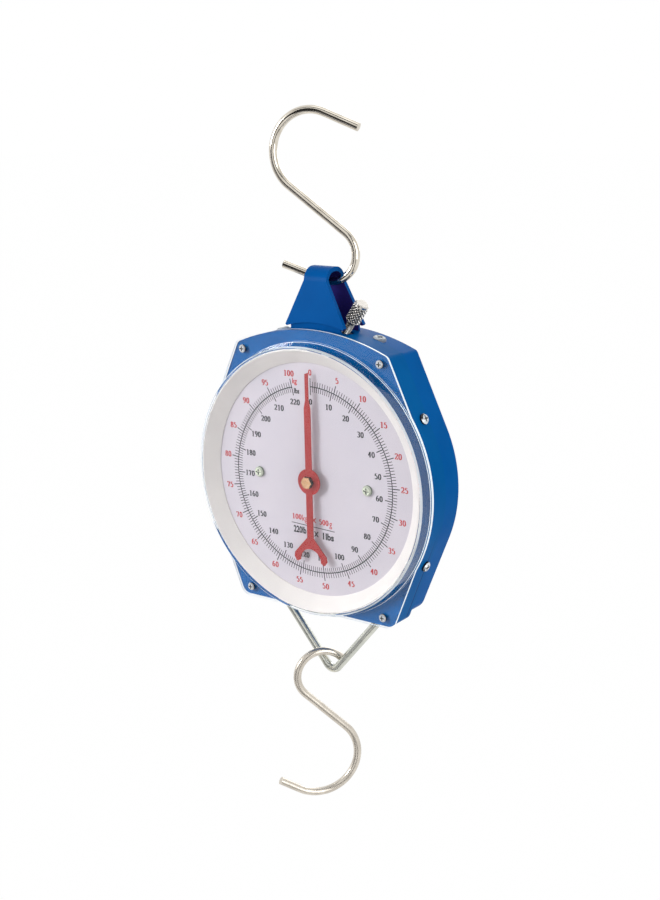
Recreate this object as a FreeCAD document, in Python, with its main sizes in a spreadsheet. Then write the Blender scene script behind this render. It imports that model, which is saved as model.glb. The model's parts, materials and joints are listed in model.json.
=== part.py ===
import FreeCAD, Part
import math
import os
import Sketcher
from FreeCAD import Placement, Rotation, Vector

# Hanging spring scale. Millimetres, +Z up, X to the right and Y to the back as one faces the dial.
# The origin is the hang point: the inside of the upper hook's bow, straight above the dial's centre.
# Heights below are taken from the dial's centre, which lies dial_drop under the origin.

# alias, number, meaning (mm, or degrees where it says so)
SIZES = [
    ("slip", 0.15, "gap between sheets that slide over each other"),
    ("seat_gap", 0.2, "gap where a loose wire rests"),
    ("run_gap", 0.04, "radial gap of a running fit"),
    ("sheet", 1.2, "case sheet"),
    ("case_front", -18.5, "front face of the case"),
    ("case_back", 20, "rear face of the case"),
    ("cover_edge", 0.5, "rear edge of the front case's side wall"),
    ("top_rise", 9.4, "top of the case above the circle of its flanks"),
    ("top_radius", 170, "radius of the arched top"),
    ("top_corner_share", 0.6208, "top corner's centre, as a share of the flank radius"),
    ("top_corner_r", 5, "top corner rounding"),
    ("case_radius", 101, "round flank of the case"),
    ("low_corner_share", 0.6337, "bottom corner's centre, as a share of the flank radius"),
    ("low_corner_r", 7, "bottom corner rounding"),
    ("low_trim", 1, "flat bottom of the case above the circle of its flanks"),
    ("rear_corner_share", 0.5782, "rear case: bottom corner's centre, as a share of the flank radius"),
    ("rear_corner_r", 14, "rear case: bottom corner rounding"),
    ("window_open", 80, "radius of the opening behind the dial"),
    ("lens_gap", 0.1, "clear cover: in front of the case"),
    ("lens_flange", 1.8, "clear cover: flange"),
    ("lens_inset", -0.9, "clear cover: flange inside the case outline, less than 0 as it stands out"),
    ("lens_wall", 1.6, "clear cover: wall and window"),
    ("lens_lip", 0.7, "clear cover: step at the foot"),
    ("lens_slope", 2.2, "clear cover: wall's spread from window to foot"),
    ("lens_clear", 0.5, "clear cover: gap around the bezel ring's rim"),
    ("lens_front", -30, "clear cover: face of the window"),
    ("lens_edge", 1.1, "clear cover: slope around the window"),
    ("dial_tuck", 1, "dial plate under the bezel ring"),
    ("dial_t", 0.8, "dial plate"),
    ("dial_hole_r", 4.5, "dial plate: hole for the spindle"),
    ("ring_wide", 10.6, "bezel ring: width seen from the front"),
    ("ring_margin", 2.9, "bezel ring: rim inside the circle of the flanks"),
    ("ring_front", -28, "bezel ring: front of the rim"),
    ("ring_wall", 1.4, "bezel ring: wall"),
    ("post_x", 49, "posts left and right of the dial centre"),
    ("post_r", 4, "post sleeve radius"),
    ("post_bore_r", 2.15, "clearance for an M4 screw"),
    ("m4_r", 2, "M4 shank radius"),
    ("m4_head_r", 3.9, "M4 pan head radius"),
    ("m4_head", 2.4, "M4 pan head height"),
    ("m3_r", 1.5, "M3 shank radius"),
    ("m3_head_r", 3, "M3 pan head radius"),
    ("m3_head", 1.8, "M3 pan head height"),
    ("strap_y", 12, "inner face of the two straps"),
    ("strap_t", 2, "strap sheet"),
    ("strap_long", 57, "strap half length"),
    ("strap_high", 9, "strap half height"),
    ("gear_module", 0.5, "rack and pinion module"),
    ("gear_teeth", 16, "pinion teeth"),
    ("gear_angle", 20, "pressure angle, degrees"),
    ("gear_play", 0.05, "thinning of each tooth flank"),
    ("gear_wide", 3.8, "pinion width"),
    ("rack_teeth", 22, "gaps cut in the rack"),
    ("rack_t", 3, "rack strip thickness"),
    ("rack_back", 10.4, "rack strip: back edge from the spindle"),
    ("rack_top", 31, "rack strip: top"),
    ("rack_first", -4, "rack strip: lowest tooth gap, in pitches from the spindle"),
    ("spindle_r", 2, "spindle radius"),
    ("stud_r", 1.5, "threaded spindle end"),
    ("spindle_back", 17, "rear end of the spindle"),
    ("bush_r", 4, "spindle bush radius"),
    ("bush_flange_r", 5.5, "spindle bush flange"),
    ("bush_out", 3, "bush outside the strap's inner face"),
    ("pointer_back", -23.2, "back of the pointer"),
    ("pointer_t", 0.8, "pointer sheet"),
    ("pointer_tip", 81, "pointer tip above the spindle"),
    ("pointer_slant", 1, "slant of the tip's end"),
    ("pointer_step", 54.7, "where the needle narrows"),
    ("pointer_neck", 6, "length of the narrowing"),
    ("pointer_w", 2.75, "half width of the needle"),
    ("pointer_fine_w", 1.4, "half width of the fine end"),
    ("hub_r", 9.8, "pointer hub disc"),
    ("fork_top", -42.8, "forked tail: where it spreads"),
    ("fork_side", 14.4, "forked tail: half width at the shoulders"),
    ("fork_side_z", -55.6, "forked tail: shoulders"),
    ("fork_wide", 14.9, "forked tail: half width at the widest"),
    ("fork_wide_z", -59, "forked tail: widest"),
    ("fork_end", 12.4, "forked tail: half width at the ends"),
    ("fork_low", -62.6, "forked tail: ends"),
    ("fork_bend_r", 1.2, "forked tail: corner rounding"),
    ("fork_in_r", 9.4, "forked tail: round notch"),
    ("fork_z", -60.7, "forked tail: centre of the notch"),
    ("nut_af", 8, "pointer nut across flats"),
    ("nut_high", 3.5, "pointer nut height"),
    ("yoke_y", 13.5, "outer face of the yoke's legs, at the foot"),
    ("yoke_t", 3.2, "yoke strip"),
    ("yoke_lean", 2.6, "legs lean inwards, from foot to top"),
    ("yoke_rise", 43.8, "top of the yoke above the case"),
    ("yoke_bend_r", 10.5, "outer bend radius of the yoke"),
    ("yoke_half_top", 9.8, "half width of the yoke's neck"),
    ("yoke_neck", 33.8, "neck's lower end above the legs' corners"),
    ("yoke_half_low", 26, "half width at the legs' corners"),
    ("yoke_corner", 1.5, "legs' corners, cut off"),
    ("yoke_gap", 0.8, "legs' corners above the case"),
    ("yoke_arch", 4, "rise of the arch between the corners"),
    ("tongue_half", 22, "tongue half width"),
    ("tongue_step", 1.4, "tongue behind the leg's outer face"),
    ("tongue_depth", 17.4, "tongues into the case"),
    ("block_half", 52, "hanger block half length"),
    ("block_depth", 18.4, "hanger block underside below the top of the case"),
    ("yoke_bolt_x", 9, "bolts of the yoke, left and right"),
    ("yoke_bolt_depth", 12.4, "bolts of the yoke below the top of the case"),
    ("yoke_bolt_grip", 6, "bolt length in the block"),
    ("top_screw_x", 43, "screws in the case top"),
    ("top_screw_y", 5.8, "screws in the case top, depth"),
    ("top_head_r", 4.8, "screws in the case top, head radius"),
    ("side_screw_up", 12.2, "upper side screws, along the straight flank"),
    ("side_screw_down", 17.1, "lower side screws, along the straight flank"),
    ("side_screw_y", -5.5, "screws in the case sides, depth"),
    ("face_screw_in", 1.7, "screws of the clear cover, inside the top corners' centres"),
    ("face_screw_drop", 0.7, "upper pair below those centres"),
    ("face_screw_lift", 6.6, "lower pair above the flat bottom"),
    ("knob_tilt", 35, "adjusting screw leans to the right, degrees"),
    ("knob_x", 33.3, "knob end, to the right"),
    ("knob_rise", 19.4, "knob end above the case"),
    ("knob_r", 5.6, "knob radius"),
    ("knob_long", 16, "knob length"),
    ("screw_r", 3, "adjusting screw radius"),
    ("screw_long", 68, "adjusting screw with its knob"),
    ("collar_at", 28.4, "collar below the knob's end"),
    ("collar_long", 2.5, "collar length"),
    ("collar_r", 4.5, "collar radius"),
    ("clip_at", 44.1, "lower clip below the knob's end"),
    ("clip_long", 1, "clip thickness"),
    ("anchor_at", 53, "anchor boss below the knob's end"),
    ("anchor_long", 11, "anchor boss length"),
    ("anchor_r", 6.5, "anchor boss radius"),
    ("anchor_drop", 26.4, "anchor plate top below the top of the case"),
    ("anchor_tall", 11, "anchor plate height"),
    ("anchor_half", 37, "anchor plate half length"),
    ("plate_t", 4, "anchor plate and load bar web"),
    ("guide_x", -14, "guide pin where it leaves the anchor plate's upper part"),
    ("guide_r", 2, "guide pin radius"),
    ("guide_boss_r", 4, "boss around the guide pin"),
    ("spring_x", 30, "springs left and right"),
    ("spring_wire_r", 2, "spring wire radius"),
    ("spring_coil_r", 9, "spring coil radius"),
    ("spring_turns", 21, "turns in each spring"),
    ("eye_r", 2.6, "hole for a spring's end"),
    ("eye_margin", 6, "spring holes from the plates' far edges"),
    ("bar_low", -70, "underside of the load bar"),
    ("bar_t", 4, "load bar flange"),
    ("bar_half", 49, "load bar half length"),
    ("bar_deep", 8, "load bar half depth"),
    ("web_half", 35.5, "load bar web half length"),
    ("web_tall", 22, "load bar height"),
    ("bail_x", 42, "bail legs left and right"),
    ("bail_r", 3.25, "bail wire radius"),
    ("bail_stud_r", 3, "bail thread radius"),
    ("bail_knee_drop", 7.8, "bend under the case"),
    ("bail_knee_r", 10, "its radius"),
    ("bail_vee_drop", 57.9, "legs' lines meet, below the case"),
    ("bail_vee_r", 6.5, "radius of the vee"),
    ("bail_nut_af", 10, "bail nut across flats"),
    ("bail_nut_high", 5, "bail nut height"),
    ("bush_bore_gap", 0.08, "bail legs run freely in their bushes"),
    ("sleeve_r", 5, "bail bush radius"),
    ("sleeve_flange_r", 6.5, "bail bush flange"),
    ("hook_r", 3, "hook wire radius"),
    ("hook_turn", 12, "upper hook's plane, turned from the dial's, degrees"),
    ("bow_x", -8.4, "upper hook: big bow's centre, along its plane"),
    ("bow_rise", 70.9, "upper hook: big bow's centre above the small bow's"),
    ("bow_r", 29.2, "upper hook: big bow"),
    ("bow_tail", 21.8, "upper hook: slope of the big bow's tail, degrees"),
    ("bow_tail_long", 28.1, "upper hook: length of that tail"),
    ("eyelet_x", 5.7, "upper hook: small bow's centre"),
    ("eyelet_r", 19.2, "upper hook: small bow"),
    ("eyelet_tail", 18.3, "upper hook: slope of the small bow's tail, degrees"),
    ("eyelet_tail_long", 32.9, "upper hook: length of that tail"),
    ("low_turn", 50, "lower hook's plane, turned from the dial's, degrees"),
    ("low_bow_x", 12.7, "lower hook: big bow's centre, along its plane"),
    ("low_bow_drop", 126, "lower hook: big bow's centre below the case"),
    ("low_bow_r", 30.8, "lower hook: big bow"),
    ("low_bow_tail", 31.5, "lower hook: slope of the big bow's tail, degrees"),
    ("low_bow_tail_long", 17.5, "lower hook: length of that tail"),
    ("low_eye_x", 8.6, "lower hook: small bow's centre, along its plane"),
    ("low_eye_drop", 58.8, "lower hook: small bow's centre below the case"),
    ("low_eye_r", 19.6, "lower hook: small bow"),
    ("low_eye_tail", 58, "lower hook: slope of the small bow's end, degrees"),
    ("low_eye_tail_long", 1.5, "lower hook: straight end"),
]


class Size:
    """A number and the same sum written as an expression on the sheet."""

    def __init__(self, number, text):
        self.number = number
        self.text = text

    def __add__(self, other):
        other = as_size(other)
        return Size(self.number + other.number, f"({self.text} + {other.text})")

    def __sub__(self, other):
        other = as_size(other)
        return Size(self.number - other.number, f"({self.text} - {other.text})")

    def __mul__(self, other):
        other = as_size(other)
        return Size(self.number * other.number, f"({self.text} * {other.text})")

    def __truediv__(self, other):
        other = as_size(other)
        return Size(self.number / other.number, f"({self.text} / {other.text})")

    def __neg__(self):
        return Size(-self.number, f"(0 - {self.text})")

    def __radd__(self, other):
        return as_size(other) + self

    def __rsub__(self, other):
        return as_size(other) - self

    def __rmul__(self, other):
        return as_size(other) * self


def as_size(value):
    return value if isinstance(value, Size) else Size(float(value), f"{value:.6g}")


def sine(angle):
    return Size(math.sin(math.radians(angle.number)), f"sin({angle.text})")


def cosine(angle):
    return Size(math.cos(math.radians(angle.number)), f"cos({angle.text})")


def tangent(angle):
    return Size(math.tan(math.radians(angle.number)), f"tan({angle.text})")


def root(value):
    return Size(math.sqrt(value.number), f"sqrt({value.text})")


doc = FreeCAD.newDocument("hanging_scale")
sheet = doc.addObject("Spreadsheet::Sheet", "Sheet")


class Sizes:
    """The sheet's aliases as attributes."""


S = Sizes()
for line, (alias, number, meaning) in enumerate(SIZES, start=1):
    sheet.set(f"A{line}", meaning)
    sheet.set(f"B{line}", str(number))
    sheet.setAlias(f"B{line}", alias)
    setattr(S, alias, Size(float(number), f"Sheet.{alias}"))
doc.recompute()


def noted(alias, size, meaning):
    """Write a size that follows from others on the sheet under its own alias."""
    line = len(SIZES) + 1
    sheet.set(f"A{line}", meaning)
    sheet.set(f"B{line}", "=" + size.text.replace("Sheet.", ""))
    sheet.setAlias(f"B{line}", alias)
    return Size(size.number, f"Sheet.{alias}")


# Sizes that follow from others.
S.top_apex = S.case_radius + S.top_rise
S.case_low = S.low_trim - S.case_radius
S.top_corner_x = S.case_radius * S.top_corner_share
S.low_corner_x = S.case_radius * S.low_corner_share
S.rear_corner_x = S.case_radius * S.rear_corner_share
S.ring_out_r = S.case_radius - S.ring_margin
S.ring_in_r = S.ring_out_r - S.ring_wide
S.dial_r = S.ring_in_r + S.dial_tuck
S.lens_top_r = S.ring_out_r + S.lens_clear + S.lens_wall
S.lens_low_r = S.lens_top_r + S.lens_slope
S.lens_foot_r = S.lens_low_r + S.lens_lip
S.yoke_top = S.top_apex + S.yoke_rise
S.yoke_low = S.top_apex + S.yoke_gap
S.yoke_roof = S.yoke_top - S.yoke_t
S.tongue_t = S.yoke_t - S.tongue_step
S.tongue_y = S.yoke_y - S.tongue_step
S.tongue_low = S.top_apex - S.tongue_depth
S.block_low = S.top_apex - S.block_depth
S.yoke_bolt_z = S.top_apex - S.yoke_bolt_depth
S.knob_z = S.top_apex + S.knob_rise
S.anchor_high = S.top_apex - S.anchor_drop
S.anchor_low = S.anchor_high - S.anchor_tall
S.guide_z = S.anchor_high - 2
S.eye_top = S.anchor_high - S.eye_margin
S.web_high = S.bar_low + S.web_tall
S.eye_low = S.web_high - S.eye_margin
S.bail_knee_z = S.case_low - S.bail_knee_drop
S.bail_vee_z = S.case_low - S.bail_vee_drop
S.low_bow_z = S.low_bow_drop - S.case_low
S.low_eye_z = S.low_eye_drop - S.case_low
# The yoke's roof rests on the upper hook: its left edge touches the small bow's straight tail.
tail_x = S.eyelet_x - S.eyelet_r * sine(S.eyelet_tail)
roof_edge = S.yoke_half_top / cosine(S.hook_turn)
S.eyelet_z = (S.yoke_roof - S.seat_gap - S.hook_r / cosine(S.eyelet_tail)
              - (roof_edge + tail_x) * tangent(S.eyelet_tail) + S.eyelet_r * cosine(S.eyelet_tail))
S.bow_z = S.eyelet_z + S.bow_rise
# The underside of the big bow's tail passes through the hang point.
bow_top_x = S.bow_x + S.bow_r * sine(S.bow_tail)
S.dial_drop = noted("dial_drop", S.bow_z + S.bow_r * cosine(S.bow_tail) + bow_top_x * tangent(S.bow_tail)
                    - S.hook_r / cosine(S.bow_tail), "hang point down to the dial centre")

ORIGIN = (0, 0, -S.dial_drop)  # where every piece's own frame lies: the dial's centre
NODES = []  # the sub-parts, in the order they are made


def bind(thing, prop, value):
    thing.setExpression(prop, as_size(value).text)


def place(thing, at=ORIGIN, axis=None, angle=None):
    """Bind a placement: its base and, where given, a turn about an axis by an angle in degrees."""
    for name, value in zip("xyz", at):
        bind(thing, f"Placement.Base.{name}", value)
    if axis is not None:
        turn = as_size(angle)
        thing.Placement = Placement(Vector(), Rotation(Vector(*axis), turn.number))
        bind(thing, "Placement.Rotation.Angle", turn)


def keep(thing, label):
    """Note a finished sub-part; its label names its file."""
    thing.Label = label
    NODES.append(thing)
    return thing


def body(label, at=ORIGIN, axis=None, angle=None):
    made = doc.addObject("PartDesign::Body", label)
    place(made, at, axis, angle)
    return made


def sketch(owner, role, depth=0):
    """A sketch on one of the body's origin planes, moved along the plane's normal to the given
    row coordinate. XZ sketches look along Y: their depth is the Y coordinate."""
    made = owner.newObject("Sketcher::SketchObject", f"{owner.Name}_sketch")
    plane = [f for f in owner.Origin.OriginFeatures if f.Role == role][0]
    made.AttachmentSupport = [(plane, "")]
    made.MapMode = "FlatFace"
    shift = as_size(depth)
    bind(made, "AttachmentOffset.Base.z", -shift if role == "XZ_Plane" else shift)
    return made


def hold(made, index, point, x, y):
    """Fix a point of a sketch element by its two distances from the sketch's origin."""
    for kind, axis, value in (("DistanceX", -2, as_size(x)), ("DistanceY", -1, as_size(y))):
        if value.number == 0:
            made.addConstraint(Sketcher.Constraint("PointOnObject", index, point, axis))
        else:
            c = made.addConstraint(Sketcher.Constraint(kind, -1, 1, index, point, value.number))
            bind(made, f"Constraints[{c}]", value)


def radius(made, index, value):
    c = made.addConstraint(Sketcher.Constraint("Radius", index, as_size(value).number))
    bind(made, f"Constraints[{c}]", value)


def vec(x, y):
    return Vector(as_size(x).number, as_size(y).number, 0)


def circle(made, x, y, r):
    index = made.addGeometry(Part.Circle(vec(x, y), Vector(0, 0, 1), as_size(r).number))
    hold(made, index, 3, x, y)
    radius(made, index, r)


def polygon(made, corners):
    """A closed outline of straight edges through the corners."""
    spots = [vec(x, y) for x, y in corners]
    first = None
    count = len(spots)
    edges = []
    for i in range(count):
        edges.append(made.addGeometry(Part.LineSegment(spots[i], spots[(i + 1) % count])))
    for i in range(count):
        after = edges[(i + 1) % count]
        made.addConstraint(Sketcher.Constraint("Coincident", edges[i], 2, after, 1))
    for i, (x, y) in enumerate(corners):
        hold(made, edges[i], 1, x, y)
    return edges


def rectangle(made, x0, x1, y0, y1):
    return polygon(made, [(x0, y0), (x1, y0), (x1, y1), (x0, y1)])


def rounded(made, corners, closed=True):
    """Straight edges with a tangent arc at every corner whose radius is not zero. Corners are
    (x, y, radius). The lines are held by the corners, which stay as construction points."""
    count = len(corners)
    spots = [vec(x, y) for x, y, _ in corners]
    marks = []
    for (x, y, r), spot in zip(corners, spots):
        mark = made.addGeometry(Part.Point(spot), True)
        hold(made, mark, 1, x, y)
        marks.append(mark)
    legs = range(count if closed else count - 1)
    ends = []
    for i in legs:
        a, b = spots[i], spots[(i + 1) % count]
        way = (b - a).normalize()
        ends.append([a + way * cut(corners, i, closed), b - way * cut(corners, (i + 1) % count, closed)])
    lines = [made.addGeometry(Part.LineSegment(a, b)) for a, b in ends]
    for i in legs:
        for mark, end in ((marks[i], 1), (marks[(i + 1) % count], 2)):
            corner = corners[i if end == 1 else (i + 1) % count]
            if corner[2] == 0:
                made.addConstraint(Sketcher.Constraint("Coincident", lines[i], end, mark, 1))
            else:
                made.addConstraint(Sketcher.Constraint("PointOnObject", mark, 1, lines[i]))
    for i, (x, y, r) in enumerate(corners):
        if as_size(r).number == 0 or (not closed and i in (0, count - 1)):
            continue
        before, after = lines[i - 1], lines[i]
        add_fillet(made, before, after, ends[i - 1][1], ends[i][0], spots[i], r)
    return lines


def cut(corners, i, closed):
    """How far a corner's arc eats into its two edges."""
    count = len(corners)
    r = as_size(corners[i][2]).number
    if r == 0 or (not closed and i in (0, count - 1)):
        return 0
    here = vec(*corners[i][:2])
    before = (vec(*corners[i - 1][:2]) - here).normalize()
    after = (vec(*corners[(i + 1) % count][:2]) - here).normalize()
    return r / math.tan(before.getAngle(after) / 2)


def add_fillet(made, before, after, a, b, corner, r):
    size = as_size(r).number
    mid = (a + b) * 0.5
    centre = corner + (mid - corner) * ((size ** 2 + (a - corner).Length ** 2) / ((mid - corner).Length *
                                        math.sqrt(size ** 2 + (a - corner).Length ** 2)))
    start = math.atan2(a.y - centre.y, a.x - centre.x)
    end = math.atan2(b.y - centre.y, b.x - centre.x)
    ccw = (a - centre).cross(b - centre).z > 0
    ring = Part.Circle(centre, Vector(0, 0, 1), size)
    arc = made.addGeometry(Part.ArcOfCircle(ring, start, end) if ccw else Part.ArcOfCircle(ring, end, start))
    first, last = (1, 2) if ccw else (2, 1)
    made.addConstraint(Sketcher.Constraint("Tangent", before, 2, arc, first))
    made.addConstraint(Sketcher.Constraint("Tangent", arc, last, after, 1))
    radius(made, arc, r)


def pad(owner, profile, length, toward_plus=True):
    """Material from the sketch along plus (or minus) Y for XZ sketches, Z for XY, X for YZ."""
    made = owner.newObject("PartDesign::Pad", f"{owner.Name}_pad")
    made.Profile = profile
    flipped = "XZ_Plane" in support(profile)
    made.Reversed = toward_plus if flipped else not toward_plus
    bind(made, "Length", length)
    return made


def pocket(owner, profile, length, toward_plus=True):
    """The same for a cut."""
    made = owner.newObject("PartDesign::Pocket", f"{owner.Name}_pocket")
    made.Profile = profile
    flipped = "XZ_Plane" in support(profile)
    made.Reversed = (not toward_plus) if flipped else toward_plus
    bind(made, "Length", length)
    return made


def support(profile):
    return profile.AttachmentSupport[0][0].Role


def turn(owner, profile, axis="V_Axis", kind="PartDesign::Revolution"):
    made = owner.newObject(kind, f"{owner.Name}_turn")
    made.Profile = profile
    made.ReferenceAxis = (profile, [axis])
    made.Angle = 360
    return made


def ring_y(label, x, z, y0, y1, outer, inner=None, kept=True):
    """A disc or sleeve along Y."""
    made = body(label)
    face = sketch(made, "XZ_Plane", y0)
    circle(face, x, z, outer)
    if inner is not None:
        circle(face, x, z, inner)
    pad(made, face, as_size(y1) - y0)
    return keep(made, label) if kept else made


def group(label, master, places):
    """Copies of one fastener as separate solids in one node. A place is (x, y, z, axis, angle)."""
    copies = []
    for x, y, z, axis, angle in places:
        link = doc.addObject("App::Link", f"{label}_link")
        link.LinkedObject = master
        link.LinkTransform = False
        place(link, (x, y, z - S.dial_drop), axis, angle)
        copies.append(link)
    made = doc.addObject("Part::Compound", label)
    made.Links = copies
    return keep(made, label)


# --- case outline ------------------------------------------------------------------------------

TOP_CENTRE = S.top_apex - S.top_radius
TOP_CORNER_Z = TOP_CENTRE + root((S.top_radius - S.top_corner_r) * (S.top_radius - S.top_corner_r)
                                 - S.top_corner_x * S.top_corner_x)


def flank_angle(x, z, r):
    """Slope of the straight side's normal between the round flank and a corner arc."""
    reach = root(x * x + z * z)
    step = S.case_radius - r
    lean = math.degrees(math.atan2(abs(z.number), x.number) - math.acos(step.number / reach.number))
    rise = z if z.number > 0 else -z
    return Size(lean, f"((atan({rise.text} / {x.text}) - acos({step.text} / {reach.text})) / 1 deg)")


def normal_point(angle, distance, centre=(0, 0)):
    a = math.radians(angle)
    return Vector(centre[0] + distance * math.cos(a), centre[1] + distance * math.sin(a), 0)


def case_outline(made, inset, corner_x=None, corner_r=None):
    """The closed outline of the case, every edge tangent to the next, moved inwards by inset.
    Only the sideways place of a corner's centre is given; the tangents find its height."""
    inset = as_size(inset)
    low_x = S.low_corner_x if corner_x is None else corner_x
    low_r = S.low_corner_r if corner_r is None else corner_r
    low_z = S.case_low + low_r
    up = flank_angle(S.top_corner_x, TOP_CORNER_Z, S.top_corner_r).number
    down = flank_angle(low_x, low_z, low_r).number
    apex = math.degrees(math.atan2((TOP_CORNER_Z - TOP_CENTRE).number, S.top_corner_x.number))
    top = (0, TOP_CENTRE.number)
    corner = (S.top_corner_x.number, TOP_CORNER_Z.number)
    foot = (low_x.number, low_z.number)
    radii = [(value - inset).number for value in (S.top_radius, S.top_corner_r, S.case_radius, low_r)]

    def arc(centre, r, start, end):
        ring = Part.Circle(Vector(centre[0], centre[1], 0), Vector(0, 0, 1), r)
        return made.addGeometry(Part.ArcOfCircle(ring, math.radians(start), math.radians(end)))

    def line(a, b):
        return made.addGeometry(Part.LineSegment(a, b))

    def other(point):
        return Vector(-point.x, point.y, 0)

    high_a = normal_point(up, radii[1], corner)
    high_b = normal_point(up, radii[2])
    low_a = normal_point(-down, radii[2])
    low_b = normal_point(-down, radii[3], foot)
    floor = normal_point(-90, radii[3], foot)
    chain = [
        arc(top, radii[0], apex, 180 - apex),
        arc((-corner[0], corner[1]), radii[1], 180 - apex, 180 - up),
        line(other(high_a), other(high_b)),
        arc((0, 0), radii[2], 180 - up, 180 + down),
        line(other(low_a), other(low_b)),
        arc((-foot[0], foot[1]), radii[3], 180 + down, 270),
        line(other(floor), floor),
        arc(foot, radii[3], 270, 360 - down),
        line(low_b, low_a),
        arc((0, 0), radii[2], -down, up),
        line(high_b, high_a),
        arc(corner, radii[1], up, apex),
    ]
    for i, here in enumerate(chain):
        made.addConstraint(Sketcher.Constraint("Tangent", here, 2, chain[(i + 1) % len(chain)], 1))
    for index, size in zip((0, 1, 3, 5, 7, 9, 11), (0, 1, 2, 3, 3, 2, 1)):
        value = (S.top_radius, S.top_corner_r, S.case_radius, low_r)[size] - inset
        radius(made, chain[index], value)
    hold(made, chain[0], 3, 0, TOP_CENTRE)
    hold(made, chain[3], 3, 0, 0)
    made.addConstraint(Sketcher.Constraint("Coincident", chain[9], 3, chain[3], 3))
    for index, x in ((1, -S.top_corner_x), (11, S.top_corner_x), (5, -low_x), (7, low_x)):
        c = made.addConstraint(Sketcher.Constraint("DistanceX", -1, 1, chain[index], 3, x.number))
        bind(made, f"Constraints[{c}]", x)
    made.addConstraint(Sketcher.Constraint("Horizontal", chain[6]))
    height = S.case_low + inset
    c = made.addConstraint(Sketcher.Constraint("DistanceY", -1, 1, chain[6], 1, height.number))
    bind(made, f"Constraints[{c}]", height)


UP_LEAN = flank_angle(S.top_corner_x, TOP_CORNER_Z, S.top_corner_r)
DOWN_LEAN = flank_angle(S.low_corner_x, S.case_low + S.low_corner_r, S.low_corner_r)
REAR_INSET = S.sheet + S.slip
REAR_INSIDE = REAR_INSET + S.sheet
KNOB = (S.knob_x, 0, S.knob_z - S.dial_drop)  # end of the knob; the adjusting screw runs down from it
SIN_TILT = sine(S.knob_tilt)
COS_TILT = cosine(S.knob_tilt)


def flank_point(lean, along, inset):
    """A point on the right flank at the given inset: along from where it leaves the round part."""
    reach = S.case_radius - inset
    return reach * cosine(lean) - along * sine(lean), reach * sine(lean) + along * cosine(lean)


def side_seats(inset, low_inset=None):
    """Where the screws of the case sides sit, square to the front case's straight flanks."""
    seats = []
    for lean, along, depth, way in ((UP_LEAN, S.side_screw_up, inset, 1),
                                    (DOWN_LEAN, S.side_screw_down, low_inset or inset, -1)):
        x, z = flank_point(lean, along, as_size(depth))
        tilt = 90 - way * lean
        seats.append((x, S.side_screw_y, way * z, (0, 1, 0), tilt))
        seats.append((-x, S.side_screw_y, way * z, (0, 1, 0), -tilt))
    return seats


def low_nut_inset(corner):
    """The rear case's lower flank leans a little more than the front's, so a nut that is square to
    the front one touches it with one corner."""
    rear = flank_angle(S.rear_corner_x, S.case_low + S.rear_corner_r, S.rear_corner_r)
    x, z = flank_point(DOWN_LEAN, S.side_screw_down, as_size(0))
    slack = S.case_radius - x * cosine(rear) - z * sine(rear)
    return (REAR_INSIDE - slack + corner * sine(rear - DOWN_LEAN)) / cosine(rear - DOWN_LEAN)


def cylinder(r, length, at, axis, angle):
    """A plain cylinder from a point, for cutting; its own axis is Z before the turn."""
    made = doc.addObject("Part::Cylinder", "bore")
    bind(made, "Radius", r)
    bind(made, "Height", length)
    place(made, at, axis, angle)
    return made


def cut_by(base, tools, label):
    fused = doc.addObject("Part::MultiFuse", f"{label}_bores")
    fused.Shapes = tools
    made = doc.addObject("Part::Cut", label)
    made.Base = base
    made.Tool = fused
    return keep(made, label)


def lowered(seat):
    """The same place in the row's frame."""
    x, y, z, axis, angle = seat
    return (x, y, z - S.dial_drop), axis, angle


def along_screw(s, r, length):
    """A bore along the adjusting screw, from s below the knob's end downwards."""
    x = S.knob_x - (s + length) * SIN_TILT
    z = S.knob_z - (s + length) * COS_TILT - S.dial_drop
    return cylinder(r, length, (x, 0, z), (0, 1, 0), S.knob_tilt)


SIDE_BORE = S.post_bore_r
THROUGH = S.case_back - S.case_front  # longer than any wall a bore passes


def side_bores():
    tools = []
    for seat in side_seats(S.sheet * 4):
        at, axis, angle = lowered(seat)
        tools.append(cylinder(SIDE_BORE, S.sheet * 6, at, axis, angle))
    return tools


FACE_SCREWS = [(side * (S.top_corner_x - S.face_screw_in), z) for side in (-1, 1)
               for z in (TOP_CORNER_Z - S.face_screw_drop, S.case_low + S.face_screw_lift)]

# --- front case --------------------------------------------------------------------------------
shell = body("front_case_shell")
outline = sketch(shell, "XZ_Plane", S.case_front)
case_outline(outline, 0)
circle(outline, 0, 0, S.window_open)
pad(shell, outline, S.cover_edge - S.case_front)
hollow = sketch(shell, "XZ_Plane", S.case_front + S.sheet)
case_outline(hollow, S.sheet)
pocket(shell, hollow, THROUGH)
notch = sketch(shell, "XY_Plane", S.block_low)
rectangle(notch, -S.yoke_half_low - 2, S.yoke_half_low + 2, -S.yoke_y - S.slip, S.cover_edge + 1)
pocket(shell, notch, S.yoke_y * 2)
sockets = sketch(shell, "XY_Plane", S.case_low - 2)
for side in (-1, 1):
    circle(sockets, side * S.bail_x, 0, S.sleeve_r + 0.6)
pocket(shell, sockets, S.case_radius / 10)
fixings = sketch(shell, "XZ_Plane", S.case_front - 1)
for x, z in FACE_SCREWS:
    circle(fixings, x, z, S.m3_r + S.slip)
pocket(shell, fixings, S.sheet * 2)
cut_by(shell, side_bores(), "front_case")

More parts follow.
